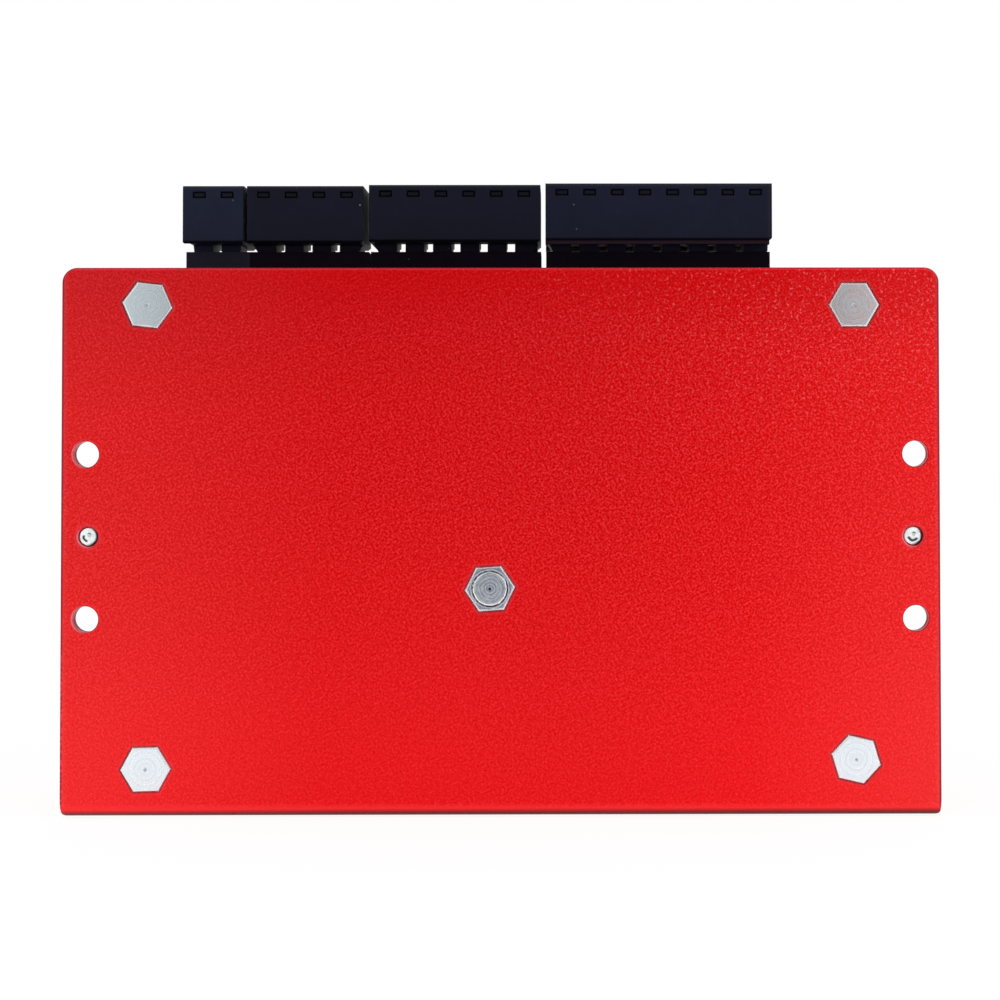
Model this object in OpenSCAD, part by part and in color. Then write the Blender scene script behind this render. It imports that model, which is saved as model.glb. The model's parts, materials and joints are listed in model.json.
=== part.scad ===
// Servo driver: a circuit board with four pluggable terminal blocks in a two-part
// sheet-metal case. X runs along the terminal row, Y from the outer face of the base
// plate into the case, and Z up towards the terminals. The origin is the centre of the
// four mounting holes, on the outer face of the base plate.

/* [Base plate] */
// Width of the base plate
plate_w = 117.5; // [112:0.5:145]
// Height of the base plate, from the outer face of its folded wall to its top edge
plate_h = 73.45; // [70:0.05:90]
// Thickness of the base plate's sheet
plate_t = 2.0; // [1.6:0.1:2.5]
// Inner radius of the bend between the panel and the folded wall
bend_r = 0.5; // [0.3:0.1:1.5]
// Radius of the two top corners
corner_r = 2.0; // [0.5:0.1:3]
// Radius of the two lower corners
foot_r = 0.7; // [0.2:0.1:1.5]

/* [Mounting holes] */
// Diameter of the mounting holes
mount_d = 3.5; // [2.5:0.1:4]
// Distance of the mounting holes from the side edges
mount_inset = 3.25; // [3:0.05:3.5]
// Vertical distance between the mounting holes
mount_spacing = 22; // [20:0.5:30]
// Height of the middle of the mounting holes above the folded wall's outer face
mount_rise = 37.45; // [35:0.05:42]

/* [Standoffs] */
// Width across the flats of the pressed-in heads
stud_flats = 6.0; // [5:0.1:7]
// Thickness of the pressed-in heads
stud_head_t = 1.2; // [0.8:0.1:1.4]
// Width of the bevel along the edges of the pressed-in heads
stud_bevel = 0.2; // [0.1:0.05:0.4]
// Diameter of the ring that the turning tool left in the middle head
stud_ring_d = 4.6; // [3:0.1:5]
// Diameter of the barrels
stud_barrel_d = 5.2; // [4.6:0.1:5.6]
// Height of the barrels above the panel's inner face
stud_h = 5.0; // [4:0.1:7]
// Distance of the corner standoffs from the side edges
stud_inset = 11.35; // [11.2:0.05:13]
// Distance of the upper standoffs from the top edge
stud_drop = 5.0; // [4.8:0.1:6]
// Heights of the lower left and lower right standoffs above the folded wall's outer face
stud_feet = [6.5, 7.65]; // [5.5:0.05:9]
// Place of the middle standoff beside and above the centre of the mounting holes
stud_middle = [-1.5, -7.0]; // [-10:0.1:10]
// Angle by which each head is turned: upper left, upper right, middle, lower left, lower right
stud_turns = [-6.5, 0, 4, 1.4, -13]; // [-30:0.1:30]

/* [Circuit board] */
// Distance of the circuit board's ends from the base plate's side edges
board_inset = 7.95; // [7.8:0.05:8.5]
// Thickness of the circuit board
board_t = 1.6; // [1:0.1:2]
// Gap between the circuit board and the inner face of the folded wall
board_foot = 0.8; // [0.5:0.1:1.5]
// Gap between the circuit board's top edge and the base plate's top edge
board_drop = 1.7; // [1.2:0.1:3]

/* [Cover] */
// Depth of the whole case
case_d = 30; // [29:0.5:40]
// Thickness of the cover's sheet
cover_t = 1.2; // [0.8:0.1:1.3]
// Outer radius of the cover's bends
cover_bend = 1.7; // [1.5:0.1:3]
// Height of the ears that the cover's screws hold
ear_h = 10; // [8:0.5:12]
// Distance of the cover's screws from the side edges
ear_screw_inset = 3.55; // [3.4:0.05:3.8]
// Width of the ventilation slots
vent_w = 2.4; // [1.5:0.1:3]
// Height of the ventilation slots
vent_h = 18; // [10:1:24]

/* [Terminal blocks] */
// Distance between neighbouring poles
pitch = 3.81; // [3.17:0.01:4.1]
// Number of poles of each block, from left to right
block_poles = [2, 4, 6, 8]; // [2:1:8]
// Gaps between neighbouring blocks
block_gaps = [0.44, 0.79, 0.69]; // [0.4:0.01:2]
// Place of the leftmost pole beside the middle of the base plate
first_pole = -41.7; // [-42:0.1:-38]
// Height of the headers' rims above the base plate's top edge
rim_rise = 3.0; // [2.5:0.1:4]
// Length of the headers, from back to rim
header_l = 9.2; // [8.8:0.1:10]
// Depth of the headers over the circuit board
header_d = 7.25; // [7.2:0.05:8]
// Gaps between neighbouring headers, set by the width of their right end walls
header_gaps = [0.05, 0.3, 0.69]; // [0.05:0.01:0.8]
// How far each plug stands off the position in which it is fully home
plug_lifts = [0, 0, 0.15, 0.35]; // [0:0.05:0.5]
// Height of the slots between the poles under each plug
slot_rises = [1.6, 1.6, 1.6, 0]; // [0:0.1:1.6]
// How far the shoulder under each plug's left end is wider than the end tongue, at its top
shoulders_left = [0.1, 0.6, 0.6, 0.6]; // [0:0.05:0.6]
// How far the shoulder under each plug's right end is wider than the end tongue, at its top
shoulders_right = [0.1, 0.6, 0.6, 0.75]; // [0:0.05:0.75]
// How much of that width the right shoulder keeps at its foot
feet_right = [0, 0, 0.5, 0.7]; // [0:0.05:0.7]
// How far each plug's front wall hangs below its underside
lips = [0, 0, 0, 0.55]; // [0:0.05:0.8]
// How far each plug's back wall hangs below its underside, behind a small step
heels = [0, 0, 0, 0.5]; // [0:0.05:0.8]
// Height of the hollow under each plug's left end, behind its back wall
reliefs_left = [1.3, 0, 0, 0]; // [0:0.1:1.3]
// Height of a plug above its underside
plug_h = 7.9; // [7.8:0.1:9]
// Depth of a plug
plug_d = 11.1; // [11:0.1:12]
// Width of the small rectangles in a plug's back
window_w = 1.8; // [1:0.1:2]
// Height of the small rectangles in a plug's back
window_h = 0.9; // [0.5:0.1:1.2]
// Distance of the small rectangles below a plug's top
window_drop = 0.8; // [0.5:0.1:1.5]

/* [Power transistors] */
// Number of power transistors along the folded wall
power_count = 6; // [4:1:6]
// Distance between neighbouring power transistors
power_pitch = 12.5; // [11:0.1:13]
// Gap between the transistors' tabs and the cover's front wall
power_gap = 1.2; // [0.8:0.1:2]

/* [Hidden] */
$fn = 48;
eps = 0.01;
fit = 0.05; // clearance per side between pieces that seat in each other

// Levels along Y
panel_in = plate_t;
board_y0 = panel_in + stud_h;
board_y1 = board_y0 + board_t;
cover_in = case_d - cover_t;
wall_reach = cover_in - 0.2;

// Levels along Z
rest_z = -mount_rise;
plate_top = plate_h - mount_rise;
wall_in = rest_z + plate_t;
board_z0 = wall_in + board_foot;
board_z1 = plate_top - board_drop;
rim_z = plate_top + rim_rise;

// Base plate
bend_out = bend_r + plate_t;
mount_x = plate_w / 2 - mount_inset;
ear_screw_x = plate_w / 2 - ear_screw_inset;
stud_x = plate_w / 2 - stud_inset;
stud_spots = [
    [-stud_x, plate_top - stud_drop],
    [stud_x, plate_top - stud_drop],
    stud_middle,
    [-stud_x, rest_z + stud_feet[0]],
    [stud_x, rest_z + stud_feet[1]]
];

stud_rim = 0.1;

// M3 screws: shanks are drawn at the diameter that fills a tapped hole
tap_d = 2.68;
tap_sink = 0.25;
shank_d = tap_d - 2 * 0.03;
clear_d = 3.2;
head_d = 5.5;
head_h = 2.0;
head_recess = 1.1;

// Cover
board_w = plate_w - 2 * board_inset;
side_in = board_w / 2 + 0.2;
side_out = side_in + cover_t;
ear_out = plate_w / 2 - 0.55;
cover_foot = wall_in + 0.1;
notch_gap = 1.1;

// Terminal blocks: sections along Y and Z
header_wall = 0.8;
header_end = 0.75;
header_back = 2.2;
header_y1 = board_y1 + header_d;
header_z0 = rim_z - header_l;
cavity_y0 = board_y1 + header_wall;
cavity_y1 = header_y1 - header_wall;
pin_w = 1.0;
pin_y = cavity_y0 + 2.8;
pin_z = header_z0 + 1.2;
pin_top = rim_z - 1.5;
pin_tail = board_y0 - 1.6;
seat_gap = 1.0;
plug_z0 = rim_z + seat_gap;
plug_z1 = plug_z0 + plug_h;
plug_y0 = board_y1 - 2.3;
plug_y1 = plug_y0 + plug_d;
plug_side = 0.375;
plug_edge = 0.35;
plug_corner = 0.12;
groove_w = 0.5;
window_depth = 0.45;
window_gap = 0.2;
window_step = 0.1;
lip_gap = 0.2;
heel_d = 1.2;
relief_wall = 0.8;
finger_y0 = cavity_y0 + 0.2;
finger_y1 = cavity_y1 - 0.2;
finger_z0 = header_z0 + header_back + 0.2;
key_w = 0.8;
key_h = 0.5;

// Terminal blocks: inside a pole
chamber_w = pitch - 0.81;
throat_w = pin_w + 0.3;
finger_w = throat_w + 1.3;
header_over = finger_w / 2 + 0.15;
chamber_y0 = plug_y0 + 1.1;
chamber_y1 = plug_y0 + 8.5;
chamber_z0 = plug_z0 + 2.0;
chamber_z1 = plug_z1 - 0.7;
axis_z = plug_z0 + 4.3;
cage_w = chamber_w - 0.1;
cage_z = 3.4;
cage_floor = 0.6;
cage_y0 = chamber_y0 + 0.1;
bar_y0 = cage_y0 + 2.9;
bar_t = 0.8;
bar_y1 = bar_y0 + bar_t;
nut_t = 1.1;
cage_y1 = bar_y1 + 0.1 + nut_t;
leaf_t = 0.4;
clamp_shank_d = chamber_w - 1.1;
clamp_head_d = chamber_w;
clamp_head_h = 1.6;
entry_d = chamber_w - 0.5;
entry_y = (cage_y0 + cage_floor + bar_y0) / 2;

// Power transistors
pad_t = 0.3;
tab_t = 1.3;
body_w = 10.2;
body_t = 4.5;
body_h = 9.2;
tab_h = 6.4;
frame_z0 = wall_in + pad_t;
tab_y1 = cover_in - power_gap;
power_y1 = tab_y1 - tab_h;
power_y0 = power_y1 - body_h;
power_hole_y = tab_y1 - 2.8;
lead_z = frame_z0 + 2.6;
lead_pitch = 2.54;
bush_flange = 0.6;
bush_d = 3.7;
power_spots = [for (i = [0 : power_count - 1]) (i - (power_count - 1) / 2) * power_pitch];

function around(middle, half) = [middle - half, middle + half];
// Room that two neighbouring blocks take between their end poles, without the gap
block_reach = max(pitch + 2 * plug_side, 2 * (header_over + header_end));
function block_first(b) =
    b == 0 ? first_pole : block_last(b - 1) + block_reach + block_gaps[b - 1];
function block_last(b) = block_first(b) + (block_poles[b] - 1) * pitch;
function header_left(b) = block_first(b) - header_over - header_end;
function header_right(b) =
    b < len(header_gaps) ? header_left(b + 1) - header_gaps[b] : block_last(b) + header_over + header_end;
function poles(b) = [for (i = [0 : block_poles[b] - 1]) block_first(b) + i * pitch];
function block_name(b) = str(block_poles[b], "_pole");
block_ids = [0 : len(block_poles) - 1];
last_block = len(block_poles) - 1;

// Shape helpers

// Box between two values along each axis
module box(x, y, z) {
    translate([x[0], y[0], z[0]]) cube([x[1] - x[0], y[1] - y[0], z[1] - z[0]]);
}

// Outline drawn in X and Z, made solid along Y
module along_y(y0, depth) {
    translate([0, y0 + depth, 0]) rotate([90, 0, 0]) linear_extrude(depth) children();
}

// Outline drawn in Y and Z, made solid along X
module along_x(x0, length) {
    translate([x0, 0, 0]) rotate([90, 0, 90]) linear_extrude(length) children();
}

// Round bar or bore along Y
module rod_y(x, z, y0, depth, d) {
    translate([x, y0, z]) rotate([-90, 0, 0]) cylinder(h = depth, d = d);
}

// Quarter of a ring, on the side of its centre where both coordinates are negative
module quarter_ring(outer, inner) {
    intersection() {
        difference() {
            circle(outer);
            circle(inner);
        }
        translate([-outer, -outer]) square(outer);
    }
}

// What a rounded corner takes off a square one, on the positive side of both coordinates
module corner_waste(r) {
    difference() {
        square(r + 1);
        circle(r);
    }
}

// M3 screw along Y with its head towards +Y, its seat at y and a cross recess
module screw_y(x, z, y, length) {
    tip = 0.4;
    translate([x, y, z]) rotate([90, 0, 0]) {
        difference() {
            translate([0, 0, -head_h]) union() {
                translate([0, 0, 0.6]) cylinder(h = head_h - 0.6, d = head_d);
                cylinder(h = 0.6, d1 = head_d - 1.4, d2 = head_d);
            }
            cross_recess();
        }
        cylinder(h = length - tip, d = shank_d);
        translate([0, 0, length - tip]) cylinder(h = tip, d1 = shank_d, d2 = shank_d - 0.35);
    }
}

// Cross recess of an M3 screw's head, which points towards -Z
module cross_recess() {
    arm = 2.7;
    translate([0, 0, -head_h - eps]) linear_extrude(head_recess) {
        square([arm, 0.6], center = true);
        square([0.6, arm], center = true);
    }
}

// Case

module base_plate() {
    color("crimson") difference() {
        union() {
            box([-plate_w / 2, plate_w / 2], [0, plate_t], [rest_z + bend_out, plate_top]);
            box([-plate_w / 2, plate_w / 2], [bend_out, wall_reach], [rest_z, wall_in]);
            along_x(-plate_w / 2, plate_w) translate([bend_out, rest_z + bend_out])
                quarter_ring(bend_out, bend_r);
        }
        for (side = [0, 1]) mirror([side, 0, 0]) {
            along_y(-1, plate_t + 2) translate([plate_w / 2 - corner_r, plate_top - corner_r])
                corner_waste(corner_r);
            along_y(-1, wall_reach + 2) translate([plate_w / 2 - foot_r, rest_z + foot_r])
                mirror([0, 1]) corner_waste(foot_r);
            for (z = [-1, 1] * mount_spacing / 2) rod_y(mount_x, z, -1, plate_t + 2, mount_d);
            rod_y(ear_screw_x, 0, -1, plate_t + 2, tap_d);
            // Countersunk mouth of the tapped hole
            translate([ear_screw_x, -eps, 0]) rotate([-90, 0, 0])
                cylinder(h = tap_sink, d1 = tap_d + 2 * tap_sink, d2 = tap_d);
        }
        for (i = [0 : len(stud_spots) - 1]) {
            spot = stud_spots[i];
            at_stud(i) hexagon(stud_flats + 2 * fit, -stud_rim, stud_head_t);
            rod_y(spot[0], spot[1], 0, plate_t + 1, stud_barrel_d + 2 * fit);
        }
        for (x = power_spots) translate([x, power_hole_y, rest_z - 1]) cylinder(h = plate_t + 2, d = tap_d);
    }
}

module at_stud(i) {
    translate([stud_spots[i][0], 0, stud_spots[i][1]]) rotate([0, -stud_turns[i], 0]) children();
}

// Hexagon along Y whose face at Y = 0 has a bevelled edge. A negative bevel widens
// it there instead, which makes the tool for a recess with a bevelled edge
module hexagon(flats, bevel, depth) {
    half = flats / 2;
    drop = abs(bevel);
    front = bevel < 0 ? -1 : 0;
    intersection() {
        rotate([0, -30, 0]) slab(half, bevel, drop, front, depth);
        rotate([0, -90, 0]) slab(half, bevel, drop, front, depth);
        rotate([0, -150, 0]) slab(half, bevel, drop, front, depth);
    }
}

module slab(half, bevel, drop, front, depth) {
    translate([0, 0, -2 * half]) linear_extrude(4 * half) polygon([
        [half - bevel, front], [half - bevel, 0], [half, drop], [half, depth],
        [-half, depth], [-half, drop], [-half + bevel, 0], [-half + bevel, front]
    ]);
}

module standoffs() {
    dimple_d = 0.4;
    ring_t = 0.08;
    middle = 2;
    bore_floor = stud_head_t + 1.0;
    color("silver") for (i = [0 : len(stud_spots) - 1]) {
        spot = stud_spots[i];
        difference() {
            union() {
                at_stud(i) hexagon(stud_flats, stud_bevel, stud_head_t);
                rod_y(spot[0], spot[1], stud_head_t / 2, board_y0 - stud_head_t / 2, stud_barrel_d);
            }
            rod_y(spot[0], spot[1], bore_floor, board_y0 - bore_floor + 1, tap_d);
            translate([spot[0], -eps, spot[1]]) rotate([-90, 0, 0])
                cylinder(h = 0.2, d1 = dimple_d, d2 = 0.1);
            if (i == middle) at_stud(i) rotate([-90, 0, 0]) rotate_extrude()
                polygon([
                    [stud_ring_d / 2 - ring_t, -eps],
                    [stud_ring_d / 2 + ring_t, -eps],
                    [stud_ring_d / 2, ring_t]
                ]);
        }
    }
}

// Closed outer form of the cover, drawn inwards by inset
module cover_form(inset) {
    r = cover_bend - inset;
    half = side_out - inset;
    front = case_d - inset;
    top = plate_top - inset;
    low = rest_z - 5;
    back = panel_in - 5;
    intersection() {
        difference() {
            box([-half, half], [back, front], [low, top]);
            for (side = [0, 1]) mirror([side, 0, 0]) translate([half - r, front - r, low - 1])
                linear_extrude(top - low + 2) corner_waste(r);
        }
        difference() {
            box([-half - 1, half + 1], [back, front], [low, top]);
            along_x(-half - 2, 2 * half + 4) translate([front - r, top - r]) corner_waste(r);
        }
    }
}

module cover() {
    gap = 0.1;
    back = panel_in + gap;
    front_foot = rest_z + gap;
    wide = around(0, side_out + 1);
    notch = [header_left(0) - notch_gap, header_right(last_block) + notch_gap];
    color("crimson") difference() {
        union() {
            difference() {
                cover_form(0);
                cover_form(cover_t);
                box(wide, [panel_in - 10, back], [rest_z - 10, plate_top + 10]);
                box(wide, [panel_in - 10, cover_in], [rest_z - 10, cover_foot]);
                box(wide, [panel_in - 10, case_d + 1], [rest_z - 10, front_foot]);
                // The side walls' lower corners stay clear of the base plate's bend
                box(wide, [panel_in - 10, back + bend_r], [rest_z - 10, cover_foot + bend_r]);
            }
            for (side = [0, 1]) mirror([side, 0, 0])
                box([side_in, ear_out], [panel_in, panel_in + cover_t], [-ear_h / 2, ear_h / 2]);
        }
        box(notch, [panel_in - 1, header_y1 + 0.5], [plate_top - cover_t - 1, plate_top + 1]);
        for (side = [0, 1]) mirror([side, 0, 0]) {
            rod_y(ear_screw_x, 0, panel_in - 1, cover_t + 2, clear_d);
            side_vents();
        }
        front_vents();
        for (y = lamp_levels) translate([lamp_x, y, plate_top - 5]) cylinder(h = 10, d = lamp_d + 0.4);
    }
}

module vent_slot() {
    for (end = [-1, 1]) translate([0, end * (vent_h - vent_w) / 2]) circle(d = vent_w);
    square([vent_w, vent_h - vent_w], center = true);
}

module front_vents() {
    count = 9;
    for (i = [0 : count - 1]) along_y(cover_in - 1, cover_t + 2)
        translate([(i - (count - 1) / 2) * 8, rest_z + 10 + vent_h / 2]) vent_slot();
}

module side_vents() {
    first_y = panel_in + 10;
    for (i = [0 : 2]) along_x(side_in - 1, cover_t + 2)
        translate([first_y + i * 6, rest_z + 12 + vent_h / 2]) vent_slot();
}

module cover_screws() {
    tip_depth = 0.4;
    seat = panel_in + cover_t;
    color("silver") for (side = [-1, 1]) screw_y(side * ear_screw_x, 0, seat, seat - tip_depth);
}

// Circuit board and its screws

module circuit_board() {
    color("darkgreen") difference() {
        box([-board_w / 2, board_w / 2], [board_y0, board_y1], [board_z0, board_z1]);
        for (spot = stud_spots) rod_y(spot[0], spot[1], board_y0 - 1, board_t + 2, clear_d);
        for (b = block_ids) for (x = poles(b)) rod_y(x, pin_z, board_y0 - 1, board_t + 2, pin_w * 1.6);
        for (x = power_spots) for (i = [-1 : 1])
            rod_y(x + i * lead_pitch, lead_z, board_y0 - 1, board_t + 2, 1.3);
    }
}

module board_screws() {
    length = board_t + stud_h - 1.6;
    color("silver") for (spot = stud_spots) screw_y(spot[0], spot[1], board_y1, length);
}

// Headers

module header(b) {
    floor_z = header_z0 + header_back;
    color("black") difference() {
        box([header_left(b), header_right(b)], [board_y1, header_y1], [header_z0, rim_z]);
        box([block_first(b) - header_over, block_last(b) + header_over], [cavity_y0, cavity_y1],
            [floor_z, rim_z + 1]);
        for (x = poles(b)) translate([x, 0, 0]) {
            box(around(0, key_w / 2 + 0.1), [cavity_y1 - 1, header_y1 + 1], [floor_z + 2, rim_z + 1]);
            box(around(0, pin_w / 2 + fit), [board_y1 - 1, pin_y + pin_w / 2 + fit],
                [header_z0 - 1, pin_z + pin_w / 2 + fit]);
            box(around(0, pin_w / 2 + fit), around(pin_y, pin_w / 2 + fit), [pin_z, floor_z + 1]);
        }
    }
}

// Bent square pin, drawn in Y and Z
module pin_outline() {
    half = pin_w / 2;
    tip = 0.3;
    polygon([
        [pin_tail, pin_z - half + tip], [pin_tail + tip, pin_z - half],
        [pin_y + half - tip, pin_z - half], [pin_y + half, pin_z - half + tip],
        [pin_y + half, pin_top - tip], [pin_y + half - tip, pin_top],
        [pin_y - half + tip, pin_top], [pin_y - half, pin_top - tip],
        [pin_y - half, pin_z + half], [pin_tail + tip, pin_z + half], [pin_tail, pin_z + half - tip]
    ]);
}

module header_pins() {
    color("gold") for (b = block_ids) for (x = poles(b)) along_x(x - pin_w / 2, pin_w) pin_outline();
}

// Plugs

// Section of a plug, drawn in Y and Z
module plug_section() {
    edge = plug_edge;
    bevel = 1.0;
    polygon([
        [plug_y0 + edge, plug_z0], [plug_y1 - edge, plug_z0], [plug_y1, plug_z0 + edge],
        [plug_y1, plug_z1 - bevel], [plug_y1 - bevel, plug_z1],
        [plug_y0 + edge, plug_z1], [plug_y0, plug_z1 - edge], [plug_y0, plug_z0 + edge]
    ]);
}

// Plan of a plug, drawn in X and Y
module plug_plan(x0, x1) {
    edge = plug_corner;
    polygon([
        [x0 + edge, plug_y0], [x1 - edge, plug_y0], [x1, plug_y0 + edge],
        [x1, plug_y1], [x0, plug_y1], [x0, plug_y0 + edge]
    ]);
}

// Back view of a plug, drawn in X and Z
module plug_face(x0, x1) {
    polygon([
        [x0 + plug_corner, plug_z0], [x1 - plug_edge, plug_z0], [x1, plug_z0 + plug_edge],
        [x1, plug_z1], [x0, plug_z1], [x0, plug_z0 + plug_corner]
    ]);
}

module plug_housing(b) {
    first = block_first(b);
    last = block_last(b);
    x0 = first - pitch / 2 - plug_side;
    x1 = last + pitch / 2 + plug_side;
    color([0.1, 0.11, 0.14]) translate([0, 0, plug_lifts[b]]) difference() {
        union() {
            intersection() {
                along_x(x0, x1 - x0) plug_section();
                along_y(plug_y0, plug_d) plug_face(x0, x1);
                translate([0, 0, plug_z0]) linear_extrude(plug_h) plug_plan(x0, x1);
            }
            for (x = poles(b)) translate([x, 0, 0]) finger();
            translate([first, 0, 0]) mirror([1, 0, 0]) shoulder(shoulders_left[b], 0, plug_lifts[b]);
            translate([last, 0, 0]) shoulder(shoulders_right[b], feet_right[b], plug_lifts[b]);
            if (lips[b] > 0) box([x0, x1], [header_y1 + lip_gap, plug_y1], [plug_z0 - lips[b], plug_z0 + 1]);
            if (heels[b] > 0)
                box([x0, x1 - plug_edge], [plug_y0 + plug_edge, plug_y0 + plug_edge + heel_d],
                    [plug_z0 - heels[b], plug_z0 + 0.5]);
        }
        if (reliefs_left[b] > 0)
            box([x0 - 1, first - finger_w / 2 - shoulders_left[b]], [plug_y0 + relief_wall, plug_y1 + 1],
                [plug_z0 - 1, plug_z0 + reliefs_left[b]]);
        for (x = poles(b)) translate([x, 0, 0]) {
            pole_hollows();
            window_groove();
        }
        for (i = [1 : block_poles[b] - 1]) translate([first + (i - 0.5) * pitch, 0, 0]) {
            if (slot_rises[b] > 0) light_slot(slot_rises[b]);
            // Groove between two poles in the front
            box(around(0, groove_w / 2), [plug_y1 - groove_w / 2, plug_y1 + 1], [plug_z0 - 1, plug_z1 + 1]);
        }
    }
}

// Tongue of one pole, which enters the header, with the key that runs in the header's slot
module finger() {
    root = plug_z0 + 0.5;
    tip = 0.35;
    box(around(0, finger_w / 2), [finger_y0, finger_y1], [finger_z0 + tip, root]);
    box(around(0, finger_w / 2 - tip), [finger_y0 + tip, finger_y1 - tip], [finger_z0, finger_z0 + 2 * tip]);
    box(around(0, key_w / 2), [finger_y1 - 0.1, finger_y1 + key_h], [finger_z0 + 2.4, root]);
}

// Sloping shoulder between a plug's right end and the tongue of its last pole; a raised plug's is longer
module shoulder(reach, foot, lift) {
    side = finger_w / 2;
    level = rim_z + 0.1 - max(0, lift - 0.1);
    along_y(finger_y0, finger_y1 - finger_y0) polygon([
        [0, level], [side + foot, level], [side + reach, plug_z0], [side + reach, plug_z0 + 0.1],
        [0, plug_z0 + 0.1]
    ]);
}

// Slot between two poles, open below and to the front
module light_slot(rise) {
    half = (pitch - finger_w) / 2;
    box(around(0, half), [finger_y0, plug_y1 + 1], [plug_z0 - 1, plug_z0 + rise]);
}

// Everything that is hollow in one pole
module pole_hollows() {
    lip = 0.8;
    head_y0 = chamber_y1 - 1;
    box(around(0, chamber_w / 2), [chamber_y0, chamber_y1], [chamber_z0, chamber_z1]);
    // Throat for the contact and the pin
    box(around(0, throat_w / 2), around(pin_y, 1.2), [finger_z0 + 0.6, chamber_z0 + 1]);
    box(around(0, throat_w / 2), around(pin_y, 0.7), [finger_z0 - 1, finger_z0 + 1]);
    // Seat of the clamp screw's head and the hole for the screwdriver
    rod_y(0, axis_z, head_y0, plug_y1 - lip - head_y0, clamp_head_d + 0.2);
    rod_y(0, axis_z, head_y0, plug_y1 + 1 - head_y0, clamp_head_d - 0.3);
    // Funnel for the wire
    translate([0, entry_y, chamber_z1 - 1]) cylinder(h = plug_z1 - chamber_z1 + 2, d = entry_d);
    translate([0, entry_y, plug_z1 - 0.4]) cylinder(h = 0.4 + eps, d1 = entry_d, d2 = entry_d + 0.6);
}

// Groove round a small rectangle in a plug's back, where the shutter of the mould met
module window_groove() {
    z = around(plug_z1 - window_drop - window_h / 2, window_h / 2);
    difference() {
        box(around(0, window_w / 2), [plug_y0 - 1, plug_y0 + window_depth], z);
        box(around(0, window_w / 2 - window_gap), [plug_y0 + window_step, plug_y0 + 1],
            z + [1, -1] * window_gap);
    }
}

// Contact of one pole, drawn in Y and Z: the current bar above, two leaves round the pin below
module contact_leaves() {
    outer = pin_w / 2 + fit + leaf_t;
    inner = pin_w / 2 + fit;
    root = pin_top + 0.8;
    top = chamber_z0 + 0.2;
    low = finger_z0 + 0.8;
    flare = 0.15;
    polygon([
        [pin_y - outer, top], [pin_y - outer, low + 0.8], [pin_y - outer - flare, low],
        [pin_y - outer - flare + 0.25, low], [pin_y - inner, low + 0.8], [pin_y - inner, root],
        [pin_y + inner, root], [pin_y + inner, low + 0.8], [pin_y + outer + flare - 0.25, low],
        [pin_y + outer + flare, low], [pin_y + outer, low + 0.8], [pin_y + outer, top]
    ]);
}

module plug_contacts(b) {
    bar_w = chamber_w - 1.2;
    leaf_w = throat_w - 2 * fit;
    color("silver") translate([0, 0, plug_lifts[b]]) for (x = poles(b)) translate([x, 0, 0]) {
        along_x(-leaf_w / 2, leaf_w) contact_leaves();
        box(around(0, leaf_w / 2), [bar_y0, pin_y + pin_w / 2], [chamber_z0, chamber_z0 + 0.5]);
        box(around(0, bar_w / 2), [bar_y0, bar_y1], [chamber_z0, chamber_z1 - 0.3]);
    }
}

module clamp_cages(b) {
    side = 0.45;
    bore = clamp_shank_d + 2 * 0.03;
    z = around(axis_z, cage_z / 2);
    color("lightgray") translate([0, 0, plug_lifts[b]]) for (x = poles(b)) translate([x, 0, 0]) difference() {
        box(around(0, cage_w / 2), [cage_y0, cage_y1], z);
        box(around(0, cage_w / 2 - side), [cage_y0 + cage_floor, cage_y1 - nut_t], z + [-1, 1]);
        rod_y(0, axis_z, cage_y1 - nut_t - 1, nut_t + 2, bore);
    }
}

module clamp_screw(b, i) {
    x = poles(b)[i - 1];
    seat = chamber_y1 + 0.1;
    tip = bar_y1 + fit;
    slot = [0.5, 0.7];
    color("lightgray") translate([0, 0, plug_lifts[b]]) difference() {
        union() {
            rod_y(x, axis_z, tip + 0.3, seat - tip, clamp_shank_d);
            translate([x, tip, axis_z]) rotate([-90, 0, 0])
                cylinder(h = 0.3, d1 = clamp_shank_d - 0.5, d2 = clamp_shank_d);
            rod_y(x, axis_z, seat, clamp_head_h, clamp_head_d);
        }
        box(around(x, slot[0] / 2), [seat + clamp_head_h - slot[1], seat + clamp_head_h + 1],
            around(axis_z, clamp_head_d));
    }
}

// Power transistors on the folded wall

module transistor_packages() {
    edge = 0.6;
    color([0.12, 0.12, 0.12]) for (x = power_spots) difference() {
        along_x(x - body_w / 2, body_w) polygon([
            [power_y0, frame_z0 + tab_t], [power_y1, frame_z0 + tab_t], [power_y1, frame_z0 + body_t - edge],
            [power_y1 - edge / 2, frame_z0 + body_t], [power_y0 + edge / 2, frame_z0 + body_t],
            [power_y0, frame_z0 + body_t - edge]
        ]);
        for (i = [-1 : 1])
            box(around(x + i * lead_pitch, 0.7), [power_y0 - 1, power_y0 + 1], around(lead_z, 0.3));
    }
}

module transistor_frames() {
    tail = board_y0 - 1.4;
    shoulder = board_y1 + 0.6;
    color("silver") for (x = power_spots) {
        difference() {
            box(around(x, body_w / 2), [power_y0, tab_y1], [frame_z0, frame_z0 + tab_t]);
            translate([x, power_hole_y, frame_z0 - 1]) cylinder(h = tab_t + 2, d = bush_d + 2 * fit);
        }
        for (i = [-1 : 1]) {
            box(around(x + i * lead_pitch, 0.4), [tail, shoulder + 1], around(lead_z, 0.25));
            box(around(x + i * lead_pitch, 0.65), [shoulder, power_y0 + 0.95], around(lead_z, 0.25));
        }
    }
}

module thermal_pads() {
    rim = 0.6;
    color("lightgray") for (x = power_spots) difference() {
        box(around(x, body_w / 2 + rim), [power_y0 - rim, tab_y1 + rim / 2], [wall_in, frame_z0]);
        translate([x, power_hole_y, wall_in - 1]) cylinder(h = pad_t + 2, d = clear_d);
    }
}

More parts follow.
